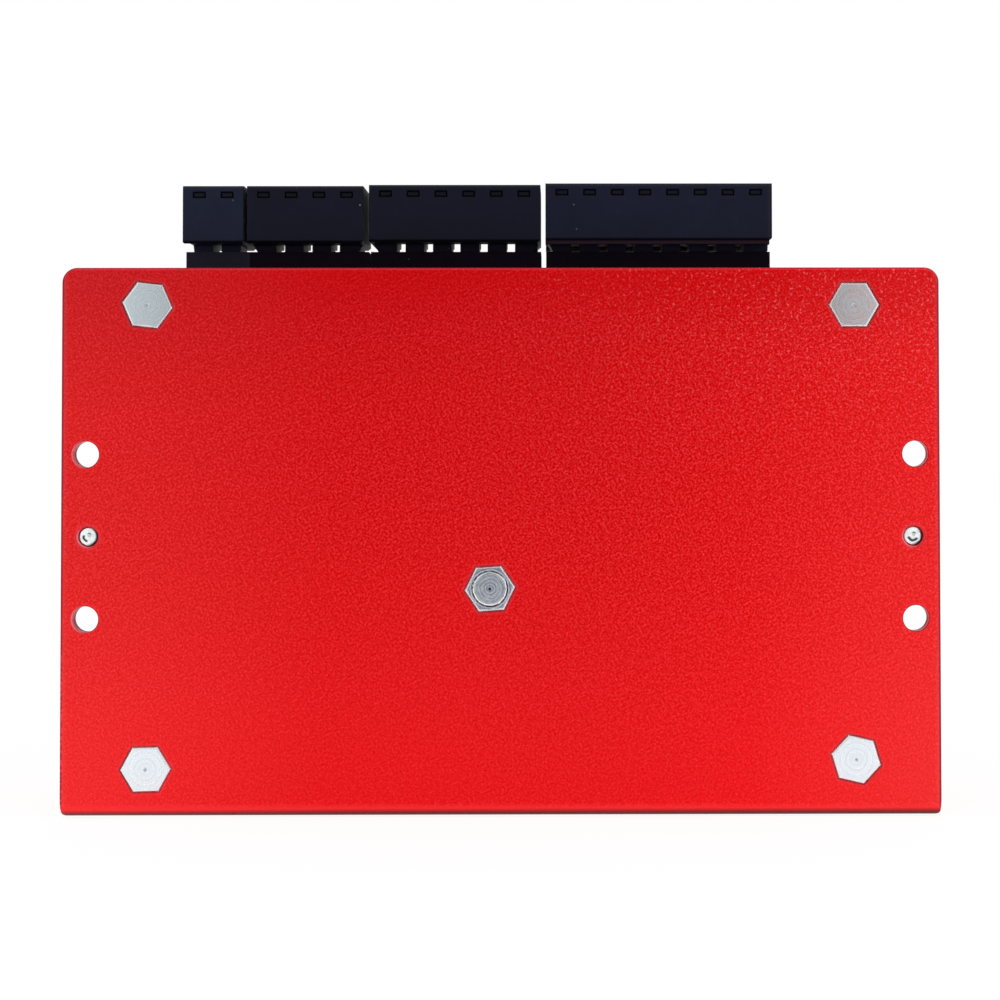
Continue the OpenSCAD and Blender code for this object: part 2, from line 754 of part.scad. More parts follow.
module insulating_bushes() {
    sleeve = tab_t - 0.2;
    color("white") for (x = power_spots) translate([x, power_hole_y, frame_z0 + tab_t]) difference() {
        union() {
            cylinder(h = bush_flange, d = head_d + 0.4);
            translate([0, 0, -sleeve]) cylinder(h = sleeve + eps, d = bush_d);
        }
        translate([0, 0, -sleeve - 1]) cylinder(h = sleeve + bush_flange + 2, d = clear_d - 0.1);
    }
}

module transistor_screws() {
    seat = frame_z0 + tab_t + bush_flange;
    length = seat - rest_z - 0.3;
    color("silver") for (x = power_spots) translate([x, power_hole_y, 0]) rotate([90, 0, 0])
        screw_y(0, 0, seat, length);
}

// Parts on the circuit board
upper_row = header_z0 - 5.8;
lower_row = board_z0 + 10.5;
outer_x = board_w / 2 - 10.8;

// Chip package with gull-wing leads on its two long sides, lying on the board
module chip(x, z, w, h, t, leads, lead_gap) {
    translate([x, board_y1, z]) {
        box([-w / 2, w / 2], [0.12, t], [-h / 2, h / 2]);
        for (i = [0 : leads - 1]) for (side = [-1, 1])
            translate([(i - (leads - 1) / 2) * lead_gap, 0, side * h / 2]) {
                box([-0.2, 0.2], [0, 0.18], side > 0 ? [0.1, 1.0] : [-1.0, -0.1]);
                box([-0.2, 0.2], [0, t / 2], side > 0 ? [-0.1, 0.3] : [-0.3, 0.1]);
            }
    }
}

module bulk_capacitors() {
    d = 12.5;
    h = 16;
    spots = [for (i = [-1 : 1]) [-outer_x, i * 14]];
    color([0.15, 0.16, 0.3]) for (spot = spots) translate([spot[0], board_y1, spot[1]]) rotate([-90, 0, 0])
        rotate_extrude() difference() {
            square([d / 2, h]);
            translate([d / 2, 2.6]) circle(0.5);
            translate([-1, h - 0.3]) square([d / 2 - 0.2, 1]);
        }
}

module buck_inductor() {
    w = 12;
    h = 6;
    color([0.2, 0.2, 0.2]) translate([-21, board_y1, 13]) rotate([-90, 0, 0]) difference() {
        translate([0, 0, h / 2]) cube([w, w, h], center = true);
        for (turn = [0 : 90 : 270]) rotate(turn) translate([w / 2 - 1.5, w / 2 - 1.5, -1])
            linear_extrude(h + 2) corner_waste(1.5);
        translate([0, 0, h - 0.4]) difference() {
            cylinder(h = 1, d = w - 2);
            cylinder(h = 3, d = w - 5, center = true);
        }
    }
}

module microcontroller() {
    body = 7;
    t = 1.4;
    gap = 0.5;
    count = 12;
    color([0.1, 0.1, 0.1]) translate([10, board_y1, 9]) {
        box([-body / 2, body / 2], [0.1, t], [-body / 2, body / 2]);
        for (turn = [0 : 90 : 270]) rotate([0, turn, 0]) for (i = [0 : count - 1])
            translate([(i - (count - 1) / 2) * gap, 0, body / 2]) {
                box([-0.11, 0.11], [0, 0.15], [0.1, 0.9]);
                box([-0.11, 0.11], [0, t / 2], [-0.1, 0.3]);
            }
    }
}

module gate_drivers() {
    color([0.1, 0.1, 0.1]) for (i = [-1 : 1]) chip(i * 2 * power_pitch, lower_row, 4.9, 3.9, 1.6, 4, 1.27);
}

module current_shunts() {
    color([0.15, 0.15, 0.15]) for (x = [-14, 14]) translate([x, board_y1, lower_row + 4]) {
        box([-3.2, 3.2], [0, 0.7], [-1.6, 1.6]);
        for (side = [-1, 1]) box(around(side * 2.9, 0.35), [0, 0.8], [-1.6, 1.6]);
    }
}

module optocouplers() {
    color([0.92, 0.92, 0.9]) for (i = [0 : 3]) chip(lamp_x - 7.5 - i * 7, upper_row, 4.6, 4.4, 2.0, 2, 2.54);
}

module interface_chips() {
    color([0.1, 0.1, 0.1]) {
        chip(-8, upper_row - 1, 9.9, 3.9, 1.6, 8, 1.27);
        chip(-26, upper_row, 4.9, 3.9, 1.6, 4, 1.27);
    }
}

module crystal() {
    color("silver") translate([20, board_y1, 9]) {
        box([-2.5, 2.5], [0, 0.9], [-1.6, 1.6]);
        box([-2.1, 2.1], [0.9, 1.2], [-1.2, 1.2]);
    }
}

module diodes() {
    color([0.14, 0.14, 0.14]) for (side = [-1, 1]) for (z = [-4, 1])
        translate([side * outer_x, board_y1, lower_row + z]) {
            box([-2.2, 2.2], [0.1, 2.2], [-1.3, 1.3]);
            for (end = [-1, 1]) box(around(end * 2.4, 0.3), [0, 1.1], [-0.8, 0.8]);
        }
}

// Small resistors and capacitors in rows beside the chips
module chip_parts() {
    color([0.75, 0.68, 0.55]) {
        for (i = [0 : 7]) chip_part(1 + i * 2.6, 2);
        for (i = [0 : 7]) chip_part(1 + i * 2.6, 16);
        for (i = [0 : 5]) chip_part(-31 + i * 2.6, lower_row + 9);
        for (i = [0 : 5]) chip_part(18 + i * 2.6, lower_row + 10);
        for (i = [0 : 5]) chip_part(28 + i * 2.6, 2);
    }
}

module chip_part(x, z) {
    translate([x, board_y1, z]) {
        box([-0.6, 0.6], [0, 0.6], [-0.6, 0.6]);
        for (side = [-1, 1]) box([-0.62, 0.62], [0, 0.65], around(side * 0.8, 0.25));
    }
}

// Status lamps, which look out through the cover's top wall

lamp_d = 3.0;
lamp_x = header_right(last_block) + 5.4;
lamp_levels = [board_y1 + 3.2, board_y1 + 8.4];
lamp_seat = plate_top - cover_t - 1.2;

module lamp_holder() {
    half = 2.1;
    color("black") difference() {
        box(around(lamp_x, half), [board_y1, lamp_levels[1] + 2.4], [lamp_seat - 6.5, lamp_seat]);
        for (y = lamp_levels) translate([lamp_x, y, lamp_seat - 3]) cylinder(h = 4, d = lamp_d + 2 * fit);
    }
}

module lamps() {
    body = plate_top + 0.4 - lamp_d / 2;
    color([0.3, 0.8, 0.35]) for (y = lamp_levels) translate([lamp_x, y, 0]) {
        translate([0, 0, lamp_seat - 3]) cylinder(h = body - lamp_seat + 3, d = lamp_d);
        translate([0, 0, body]) intersection() {
            sphere(d = lamp_d);
            cylinder(h = lamp_d, d = lamp_d);
        }
    }
}

base_plate();
standoffs();
circuit_board();
board_screws();
cover();
cover_screws();
transistor_packages();
transistor_frames();
thermal_pads();
insulating_bushes();
transistor_screws();
header_pins();
bulk_capacitors();
buck_inductor();
microcontroller();
gate_drivers();
current_shunts();
optocouplers();
interface_chips();
crystal();
diodes();
chip_parts();
lamp_holder();
lamps();
for (b = block_ids) {
    header(b);
    plug_housing(b);
    plug_contacts(b);
    clamp_cages(b);
    for (i = [1 : block_poles[b]])
        clamp_screw(b, i);
}
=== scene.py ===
import json
import math

import bmesh
import bpy
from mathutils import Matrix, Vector


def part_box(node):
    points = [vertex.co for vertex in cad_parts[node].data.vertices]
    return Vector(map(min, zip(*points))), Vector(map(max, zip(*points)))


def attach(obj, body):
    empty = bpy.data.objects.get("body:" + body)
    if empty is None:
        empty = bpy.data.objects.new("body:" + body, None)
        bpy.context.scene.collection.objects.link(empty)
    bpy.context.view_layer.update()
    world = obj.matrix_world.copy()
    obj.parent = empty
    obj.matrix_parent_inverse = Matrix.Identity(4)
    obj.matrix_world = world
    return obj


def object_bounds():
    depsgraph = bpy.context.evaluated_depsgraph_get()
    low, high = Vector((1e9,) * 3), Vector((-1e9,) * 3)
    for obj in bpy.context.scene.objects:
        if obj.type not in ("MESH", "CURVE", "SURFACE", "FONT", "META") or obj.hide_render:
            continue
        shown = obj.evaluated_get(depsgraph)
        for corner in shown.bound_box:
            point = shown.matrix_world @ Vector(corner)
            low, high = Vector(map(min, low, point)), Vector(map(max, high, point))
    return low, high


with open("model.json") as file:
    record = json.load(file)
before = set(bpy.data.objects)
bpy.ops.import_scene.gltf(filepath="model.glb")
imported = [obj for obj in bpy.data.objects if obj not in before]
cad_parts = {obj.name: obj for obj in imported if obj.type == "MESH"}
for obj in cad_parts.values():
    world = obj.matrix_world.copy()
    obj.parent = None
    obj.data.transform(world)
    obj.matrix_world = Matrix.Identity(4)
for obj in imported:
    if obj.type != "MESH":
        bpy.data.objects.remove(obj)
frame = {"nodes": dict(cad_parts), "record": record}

cad_box = [list(corner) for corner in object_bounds()]


# ---------------------------------------------------------------------------
# Base plate. One sheet of aluminium, punched, folded along its lower edge,
# bead-blasted and then anodised red. Everything else is fixed to it.

def fill(tree, socket, value):
    """Links a node's input to another node's output, or sets it."""
    if isinstance(value, bpy.types.NodeSocket):
        tree.links.new(value, socket)
    else:
        socket.default_value = value


def put(tree, kind, inputs=None, **fields):
    """Adds a shader or geometry node, sets its fields, and sets or links its inputs."""
    node = tree.nodes.new(kind if kind.startswith("GeometryNode") else "ShaderNode" + kind)
    for name, value in fields.items():
        setattr(node, name, value)
    for key, value in (inputs or {}).items():
        fill(tree, node.inputs[key], value)
    return node


def calc(tree, operation, *values):
    """A maths node's result, or with more than two values a chain of them."""
    while len(values) > 2 and operation != "MULTIPLY_ADD":
        values = (calc(tree, operation, *values[:2]), *values[2:])
    return put(tree, "Math", dict(enumerate(values)), operation=operation).outputs[0]


def blend(tree, amount, first, second, kind="MIX"):
    """The colour between two colours, or with ADD a colour with some of another added."""
    node = put(tree, "Mix", {0: amount}, data_type="RGBA", blend_type=kind)
    for place, value in ((6, first), (7, second)):
        linked = isinstance(value, bpy.types.NodeSocket)
        fill(tree, node.inputs[place], value if linked else (*value, 1))
    return node.outputs[2]


def ramp(tree, value, *stops):
    """A colour ramp through (position, colour) stops."""
    node = put(tree, "ValToRGB", {0: value})
    band = node.color_ramp
    while len(band.elements) < len(stops):
        band.elements.new(0.5)
    for element, (place, colour) in zip(band.elements, stops):
        element.position = place
        element.color = (*colour, 1)
    return node.outputs[0]


def span(tree, value, low, high, to_low=0.0, to_high=1.0):
    """Maps a value from one range to another, held inside it."""
    return put(tree, "MapRange", {0: value, 1: low, 2: high, 3: to_low, 4: to_high}).outputs[0]


def noise(tree, place, scale, detail):
    """A value round 0.5 that drifts from place to place, with finer drift laid over it."""
    return put(tree, "TexNoise", {"Vector": place, "Scale": scale, "Detail": detail}).outputs[0]


def zone(tree, *spans):
    """The product of several spans, each given as (value, low, high) or with its two results too."""
    return calc(tree, "MULTIPLY", *(span(tree, *each) for each in spans))


def group(name, inputs, outputs):
    """An empty shader node group with float or vector sockets, its input and its output node."""
    tree = bpy.data.node_groups.new(name, "ShaderNodeTree")
    for label, value in inputs:
        kind = "NodeSocketVector" if value is None else "NodeSocketFloat"
        socket = tree.interface.new_socket(label, in_out="INPUT", socket_type=kind)
        if value is not None:
            socket.default_value = value
    for label, kind in outputs:
        tree.interface.new_socket(label, in_out="OUTPUT", socket_type="NodeSocket" + kind)
    return tree, tree.nodes.new("NodeGroupInput"), tree.nodes.new("NodeGroupOutput")


def use(tree, shared, **inputs):
    """Places a shared group and sets or links its inputs."""
    node = tree.nodes.new("ShaderNodeGroup")
    node.node_tree = shared
    for key, value in inputs.items():
        fill(tree, node.inputs[key], value)
    return node


def empty_material(name):
    """A material with no nodes yet, and its tree."""
    material = bpy.data.materials.new(name)
    material.use_nodes = True
    material.node_tree.nodes.clear()
    return material, material.node_tree


def finish_material(name, **settings):
    """A material with one principled shader: its tree, the shader and object coordinates."""
    material, tree = empty_material(name)
    shader = put(tree, "BsdfPrincipled")
    tree.links.new(shader.outputs[0], put(tree, "OutputMaterial").inputs[0])
    for key, value in settings.items():
        shader.inputs[key.replace("_", " ")].default_value = value
    return material, tree, shader, put(tree, "TexCoord").outputs["Object"]


coated = set()


def coat(material, *nodes):
    """Gives CAD nodes, by name, one material."""
    coated.update(nodes)
    for name in nodes:
        shown = frame["nodes"][name]
        shown.data.materials.clear()
        shown.data.materials.append(material)


# Shared: fine grain, as a mask from 0 to 1 and a height. It lies aslant, so that no face cuts it straight
grain, grain_in, grain_out = group(
    "grain", [("Place", None), ("Size", 0.0003), ("Blotches", 0.25)], [("Mask", "Float"), ("Height", "Float")])
scale = calc(grain, "DIVIDE", 1.0, grain_in.outputs["Size"])
aslant = put(grain, "Mapping", {"Vector": grain_in.outputs["Place"], "Rotation": (0.0, 0.45, 0.0)}).outputs[0]
fine = noise(grain, aslant, scale, 2.0)
wide = noise(grain, aslant, calc(grain, "MULTIPLY", scale, 0.31), 1.0)
mixed = calc(grain, "MULTIPLY_ADD", calc(grain, "SUBTRACT", wide, fine), grain_in.outputs["Blotches"], fine)
grain.links.new(span(grain, mixed, 0.3, 0.7), grain_out.inputs["Mask"])
grain.links.new(fine, grain_out.inputs["Height"])

# Shared: worn or rounded edges, as a mask along the edges and a softened normal
edges, edges_in, edges_out = group("edges", [("Width", 0.0002)], [("Mask", "Float"), ("Normal", "Vector")])
soft = put(edges, "Bevel", {"Radius": edges_in.outputs["Width"]}, samples=6)
flat = put(edges, "NewGeometry").outputs["Normal"]
turned = put(edges, "VectorMath", {0: soft.outputs[0], 1: flat}, operation="DOT_PRODUCT").outputs["Value"]
edges.links.new(span(edges, turned, 0.995, 0.86), edges_out.inputs["Mask"])
edges.links.new(soft.outputs[0], edges_out.inputs["Normal"])


def dress(tree, shader, place, stops, size, rough, wear=None, worn=0.5, width=0.00015, relief=0.00003,
          strength=0.3, blotches=0.25):
    """Gives a shader grainy colour, roughness and relief, and another colour along its edges."""
    speck = use(tree, grain, Place=place, Size=size, Blotches=blotches)
    rim = use(tree, edges, Width=width)
    shade = ramp(tree, speck.outputs["Mask"], *stops)
    if wear:
        shade = blend(tree, calc(tree, "MULTIPLY", rim.outputs["Mask"], worn), shade, wear)
    bump = put(tree, "Bump", {"Strength": strength, "Distance": relief, "Height": speck.outputs["Height"],
                              "Normal": rim.outputs["Normal"]})
    tree.links.new(shade, shader.inputs["Base Color"])
    tree.links.new(bump.outputs[0], shader.inputs["Normal"])
    tree.links.new(span(tree, speck.outputs["Height"], 0.3, 0.7, *rough), shader.inputs["Roughness"])
    return shade, speck, rim, bump


def islands(name):
    """The box of each separate solid in a CAD node, as (lowest corner, highest corner)."""
    mesh = bmesh.new()
    mesh.from_mesh(frame["nodes"][name].data)
    bmesh.ops.remove_doubles(mesh, verts=mesh.verts, dist=1e-6)
    left, found = set(mesh.verts), []
    while left:
        heap, corners = [left.pop()], []
        while heap:
            vertex = heap.pop()
            corners.append(vertex.co)
            for edge in vertex.link_edges:
                other = edge.other_vert(vertex)
                if other in left:
                    left.remove(other)
                    heap.append(other)
        found.append(tuple(Vector(pick(c[k] for c in corners) for k in range(3)) for pick in (min, max)))
    mesh.free()
    return sorted(found, key=lambda box: tuple(round(value, 5) for value in box[0]))


def middles(name):
    """The middle of each separate solid in a CAD node."""
    return [(low + high) / 2 for low, high in islands(name)]


def nearest(tree, place, centres, flatten=(1, 0, 1)):
    """Distance to the nearest of some points, measured without one axis, which is Y if none is given."""
    scaled = put(tree, "VectorMath", {0: place, 1: flatten}, operation="MULTIPLY").outputs[0]
    least = None
    for centre in centres:
        point = [c * f for c, f in zip(centre, flatten)]
        gap = put(tree, "VectorMath", {0: scaled, 1: point}, operation="DISTANCE").outputs["Value"]
        least = gap if least is None else calc(tree, "MINIMUM", least, gap)
    return least


def band(tree, value, middle, half):
    """1 at one value, falling to 0 on both sides."""
    return span(tree, calc(tree, "ABSOLUTE", calc(tree, "SUBTRACT", value, middle)), half, half * 0.4)


def towards(tree, place, centre, turn):
    """How far a point lies towards one direction from a centre on the outer face, from -1 to 1."""
    out = put(tree, "VectorMath", {0: place, 1: centre}, operation="SUBTRACT").outputs[0]
    out = put(tree, "VectorMath", {0: out, 1: (1, 0, 1)}, operation="MULTIPLY").outputs[0]
    out = put(tree, "VectorMath", {0: out}, operation="NORMALIZE").outputs[0]
    aim = (math.cos(math.radians(turn)), 0, math.sin(math.radians(turn)))
    return put(tree, "VectorMath", {0: out, 1: aim}, operation="DOT_PRODUCT").outputs["Value"]


red_metal, tree, shader, place = finish_material(
    "red_anodised_metal", Metallic=0.2, IOR=1.45, Specular_IOR_Level=0.07)
reds = [(0.25, (0.650, 0.0, 0.0008)), (0.5, (0.72, 0.0072, 0.0103)), (0.75, (0.795, 0.0205, 0.0245)),
        (1.0, (0.87, 0.0350, 0.0400))]
_, speck, rim, _ = dress(
    tree, shader, place, size=0.00030, rough=(0.34, 0.48), width=0.0005, relief=0.00005, strength=0.4,
    blotches=0.10, stops=reds)
edge = rim.outputs["Mask"]
axes = put(tree, "SeparateXYZ", {0: place})
across, depth, height = (axes.outputs[axis] for axis in "XYZ")
plate_low, plate_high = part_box("base_plate")
foot = calc(tree, "SUBTRACT", height, plate_low.z)
top_gap = calc(tree, "SUBTRACT", plate_high.z, height)
side_gap = calc(tree, "MINIMUM", calc(tree, "SUBTRACT", across, plate_low.x),
                calc(tree, "SUBTRACT", plate_high.x, across))
FACE_DEPTH = 0.0003
face = calc(tree, "LESS_THAN", depth, FACE_DEPTH)

# The blasting is finest by the lower edge and at the top left, and coarsest at the top right
FINEST, LEFT_COARSE, RIGHT_COARSE = 0.55, 0.39, 0.89
coarse = zone(tree, (across, -0.030, 0.045, LEFT_COARSE, RIGHT_COARSE), (foot, 0.004, 0.040))
swing = calc(tree, "MULTIPLY", calc(tree, "SUBTRACT", speck.outputs["Mask"], 0.5),
             calc(tree, "ADD", coarse, FINEST))
red = ramp(tree, calc(tree, "ADD", swing, 0.5), *reds)

# The red is clouded a little at random. Painted shade darkens the upper part, more towards the left and most near
# the top left edge; painted light brightens the right side below the top and the lower left corner
CLOUDED, PAINTED_LIGHT = (0.79, 0.010, 0.013), (0.055, 0.0, 0.0)
PAINTED_UPPER_SHADE, PAINTED_TOP_LEFT_SHADE = (0.30, 0.0, 0.008), (0.66, 0.0, 0.001)
cloud = noise(tree, place, 28.0, 3.0)
red = blend(tree, span(tree, cloud, 0.35, 0.7, 0.0, 0.15), red, CLOUDED)
red = blend(tree, zone(tree, (height, 0.016, 0.033), (across, 0.055, -0.05, 0.0, 0.24)), red, PAINTED_UPPER_SHADE)
red = blend(tree, zone(tree, (top_gap, 0.008, 0.001, 0.0, 0.5), (across, -0.048, -0.022)), red, PAINTED_TOP_LEFT_SHADE)
painted_light_zone = calc(tree, "MAXIMUM", zone(tree, (across, 0.012, 0.045), (height, 0.031, 0.024)),
            zone(tree, (across, -0.030, -0.052), (height, -0.002, -0.034)))
red = blend(tree, painted_light_zone, red, PAINTED_LIGHT, "ADD")

# A pale painted sheen of light lies along both sides and, a little, over the lower half
PAINTED_SHEEN = (0.020, 0.020, 0.018)
sheen_zone = calc(tree, "MAXIMUM",
               zone(tree, (across, -0.022, -0.056), (height, 0.010, -0.036, 0.38, 0.75)),
               zone(tree, (across, 0.032, 0.057), (height, 0.015, -0.032, 0.20, 0.80)),
               span(tree, height, 0.010, -0.015, 0.0, 0.03))
red = blend(tree, sheen_zone, red, PAINTED_SHEEN, "ADD")

# Grains that stand out get painted glints at the top right
glint = noise(tree, place, 2400.0, 1.0)
painted_glints = zone(tree, (glint, 0.60, 0.72, 0.0, 0.7), (across, -0.010, 0.042), (height, 0.006, 0.030, 0.15, 1.0))
red = blend(tree, painted_glints, red, (0.94, 0.16, 0.18))

# The broken edge has a painted highlight along its inner line, most of all at the top, and a dark line of painted
# shade along its outer one.
# Low on the left the dark line is broken by nicks from the shears.
inner = zone(tree, (edge, 0.02, 0.3), (edge, 0.75, 0.4), (foot, 0.001, 0.002, 0.0, 0.5))
red = blend(tree, inner, red, (0.90, 0.12, 0.15))
painted_top_highlight = calc(tree, "MULTIPLY", span(tree, top_gap, 0.00040, 0.00025), face)
red = blend(tree, painted_top_highlight, red, (0.09, 0.012, 0.015), "ADD")
nicks = noise(tree, place, 2300.0, 0.0)
nicks = calc(tree, "MULTIPLY", zone(tree, (nicks, 0.45, 0.58), (height, -0.010, -0.018)),
             calc(tree, "LESS_THAN", across, 0.0))
whole = calc(tree, "SUBTRACT", 1.0, nicks)
outer = calc(tree, "MULTIPLY", span(tree, edge, 0.6, 0.95, 0.0, 0.75), whole)
red = blend(tree, outer, red, (0.22, 0.003, 0.010))

# The two sheared sides have a band of painted light along them, and painted shade at their very edge
painted_side_light = calc(tree, "MULTIPLY", span(tree, side_gap, 0.0009, 0.0003), face)
red = blend(tree, painted_side_light, red, (0.0, 0.016, 0.018), "ADD")
painted_side_shade = calc(tree, "MULTIPLY", span(tree, side_gap, 0.00034, 0.00020, 0.0, 0.9), face, whole)
red = blend(tree, painted_side_shade, red, (0.36, 0.018, 0.030))

# The bend has a painted highlight where it begins and painted shade on its underside, which shows more towards the
# left
red = blend(tree, span(tree, foot, 0.0020, 0.0013, 0.0, 0.6), red, (0.95, 0.036, 0.042))
under = calc(tree, "ADD", foot, span(tree, across, -0.02, -0.055, 0.0, 0.0002))
red = blend(tree, span(tree, under, 0.0012, 0.0005, 0.0, 0.98), red, (0.12, 0.001, 0.003))

# The wall of each mounting hole has painted light near the outer face, turning to grey painted shade towards the
# back
pattern = next(mount["dims"] for mount in frame["record"]["mounts"] if mount["kind"] == "bolt_pattern")
corners = [(x * pattern["spacing_x_mm"] / 2000, 0, z * pattern["spacing_y_mm"] / 2000)
           for x in (-1, 1) for z in (-1, 1)]
hole_r = pattern["hole_r_mm"] / 1000
SHEET = 0.0020
wall = calc(tree, "MULTIPLY", span(tree, depth, 0.0002, 0.0004),
            calc(tree, "LESS_THAN", nearest(tree, place, corners), hole_r + 0.0001))
painted_hole_wall = ramp(tree, span(tree, depth, 0.0002, SHEET), (0.0, (0.90, 0.15, 0.18)), (0.35, (0.70, 0.16, 0.20)),
            (0.6, (0.34, 0.13, 0.16)), (1.0, (0.26, 0.13, 0.16)))
red = blend(tree, wall, red, painted_hole_wall)

# The tapped holes and the left mounting holes have a low burr, with a painted highlight towards the lower left
BURR_DEPTH = 0.0004
# Each burr's centre, radius, half width and the direction, in degrees, in which its painted highlight lies
burrs = [(centre, 0.00140, 0.00016, 215) for centre in middles("cover_screws")]
burrs += [(centre, hole_r + 0.00003, 0.00018, 190) for centre in corners if centre[0] < 0]
for centre, reach, half, turn in burrs:
    burr_highlight = calc(tree, "MULTIPLY", band(tree, nearest(tree, place, [centre]), reach, half),
                span(tree, towards(tree, place, centre, turn), 0.1, 0.9, 0.0, 0.75),
                calc(tree, "LESS_THAN", depth, BURR_DEPTH))
    red = blend(tree, burr_highlight, red, (0.95, 0.26, 0.30))
tree.links.new(red, shader.inputs["Base Color"])
coat(red_metal, "base_plate", "cover")


# ---------------------------------------------------------------------------
# Standoffs. Hexagonal zinc-plated steel bushes, turned from bar and pressed
# into the sheet from outside, so that the faces of their heads lie flush.

def turned_rings(tree, radius, place, wobble=0.00022, lines=3600.0):
    """Rings that a turning tool leaves on a face, as a value round 0.5."""
    streak = calc(tree, "MULTIPLY_ADD", noise(tree, place, 700.0, 2.0), wobble, radius)
    return put(tree, "TexNoise", {"W": streak, "Scale": lines, "Detail": 2.5, "Roughness": 0.7},
               noise_dimensions="1D").outputs[0]


HEAD_REACH = 0.005  # takes in one head and no other
DARK_CENTRE = (0.02, 0.02, 0.03)
steels = [(0.25, (0.555, 0.625, 0.655)), (0.5, (0.59, 0.665, 0.70)), (0.75, (0.64, 0.72, 0.76))]
stud_metal, tree, shader, place = finish_material("turned_steel", Metallic=0.9, IOR=1.5)
heads = middles("standoffs")
radius = nearest(tree, place, heads)
rings = turned_rings(tree, radius, place)
_, speck, rim, bump = dress(tree, shader, place, size=0.0003, rough=(0.34, 0.22), width=0.0003, stops=steels)
shade = blend(tree, calc(tree, "MULTIPLY", speck.outputs["Mask"], 0.3), ramp(tree, rings, *steels),
              (0.54, 0.58, 0.62))

# One head has a warm tint in patches
warm_head = max(heads, key=lambda head: head.x + head.z)
warm = calc(tree, "LESS_THAN", nearest(tree, place, [warm_head]), HEAD_REACH)
tint = span(tree, noise(tree, place, 900.0, 2.0), 0.4, 0.6, 0.2, 0.8)
shade = blend(tree, calc(tree, "MULTIPLY", warm, tint), shade, (0.70, 0.56, 0.57))

# The turning tool left a small dark pip in the middle
shade = blend(tree, span(tree, radius, 0.0004, 0.0002, 0.0, 0.35), shade, (0.30, 0.32, 0.34))

# The middle head's turning rings are real, and their strong contrast is painted light and shade; a groove painted
# dark with shade runs outside a ring with a painted highlight, and the centre is darker
ringed_head = min(heads, key=lambda head: abs(head.x))
worn = calc(tree, "LESS_THAN", nearest(tree, place, [ringed_head]), HEAD_REACH)
GROOVE_R, POLISHED_R, RING_HALF = 0.00235, 0.00208, 0.00016
patchy = noise(tree, place, 1500.0, 2.0)
scored = turned_rings(tree, radius, place, wobble=0.0004, lines=5600.0)
scored = calc(tree, "MULTIPLY_ADD", calc(tree, "SUBTRACT", patchy, 0.5), 0.22, scored)
deep = ramp(tree, scored, (0.36, (0.20, 0.22, 0.29)), (0.46, (0.49, 0.54, 0.64)), (0.54, (0.72, 0.80, 0.90)),
            (0.64, (0.94, 0.99, 1.0)))
groove_shade = calc(tree, "MULTIPLY", band(tree, radius, GROOVE_R, RING_HALF), span(tree, patchy, 0.35, 0.5))
deep = blend(tree, groove_shade, deep, (0.03, 0.03, 0.05))
painted_ring_highlight = calc(tree, "MULTIPLY", band(tree, radius, POLISHED_R, RING_HALF),
                span(tree, patchy, 0.3, 0.5, 0.4, 1.0))
deep = blend(tree, painted_ring_highlight, deep, (0.95, 0.97, 0.99))
deep = blend(tree, span(tree, radius, 0.00030, 0.00016), deep, DARK_CENTRE)
shade = blend(tree, worn, shade, deep)

# The bevel round each hexagon gets a painted highlight: a pale colour, less metallic, so that it looks bright from
# every side
hex_edge_highlight = zone(tree, (rim.outputs["Mask"], 0.05, 0.5), (radius, 0.0026, 0.0028))
shade = blend(tree, hex_edge_highlight, shade, (0.98, 0.90, 0.91))
tree.links.new(shade, shader.inputs["Base Color"])
tree.links.new(span(tree, hex_edge_highlight, 0.0, 1.0, 0.9, 0.1), shader.inputs["Metallic"])
tree.links.new(calc(tree, "MULTIPLY", rings, 0.2), bump.inputs["Height"])
tree.links.new(span(tree, rings, 0.3, 0.7, 0.34, 0.22), shader.inputs["Roughness"])
coat(stud_metal, "standoffs")


# ---------------------------------------------------------------------------
# Power transistors. Six flat packages stand on the folded wall, which cools
# them. Grey silicone pads and white bushes insulate their tinned tabs.

pad_rubber, tree, shader, place = finish_material("silicone_pad", IOR=1.41, Specular_IOR_Level=0.3)
shade, _, _, bump = dress(
    tree, shader, place, size=0.0002, rough=(0.6, 0.8), wear=(0.52, 0.52, 0.53), relief=0.00004,
    stops=[(0.1, (0.30, 0.31, 0.32)), (0.9, (0.40, 0.41, 0.42))])
# The glass cloth inside shows through as a weave
weave = [put(tree, "TexWave", {"Vector": place, "Scale": 330.0, "Distortion": 0.6}, bands_direction=axis).outputs[0]
         for axis in "XY"]
cloth = calc(tree, "MULTIPLY", calc(tree, "ADD", *weave), 0.5)
shade = blend(tree, calc(tree, "MULTIPLY", cloth, 0.35), shade, (0.22, 0.23, 0.25))
tree.links.new(shade, shader.inputs["Base Color"])
tree.links.new(cloth, bump.inputs["Height"])
coat(pad_rubber, "thermal_pads")

tin, tree, shader, place = finish_material("matt_tin", Metallic=0.85, IOR=1.6)
shade, *_ = dress(
    tree, shader, place, size=0.00012, rough=(0.3, 0.46), wear=(0.86, 0.84, 0.80), width=0.0001, relief=0.00001,
    stops=[(0.1, (0.58, 0.58, 0.57)), (0.5, (0.70, 0.70, 0.69)), (0.9, (0.80, 0.80, 0.79))])
# Fine lines from the rolls that made the strip
rolled = put(tree, "Mapping", {"Vector": place, "Scale": (9000.0, 600.0, 9000.0)}).outputs[0]
lines = span(tree, noise(tree, rolled, 1.0, 2.0), 0.4, 0.8, 0.0, 0.4)
shade = blend(tree, lines, shade, (0.50, 0.50, 0.50))
tree.links.new(shade, shader.inputs["Base Color"])
coat(tin, "transistor_frames", "header_pins")

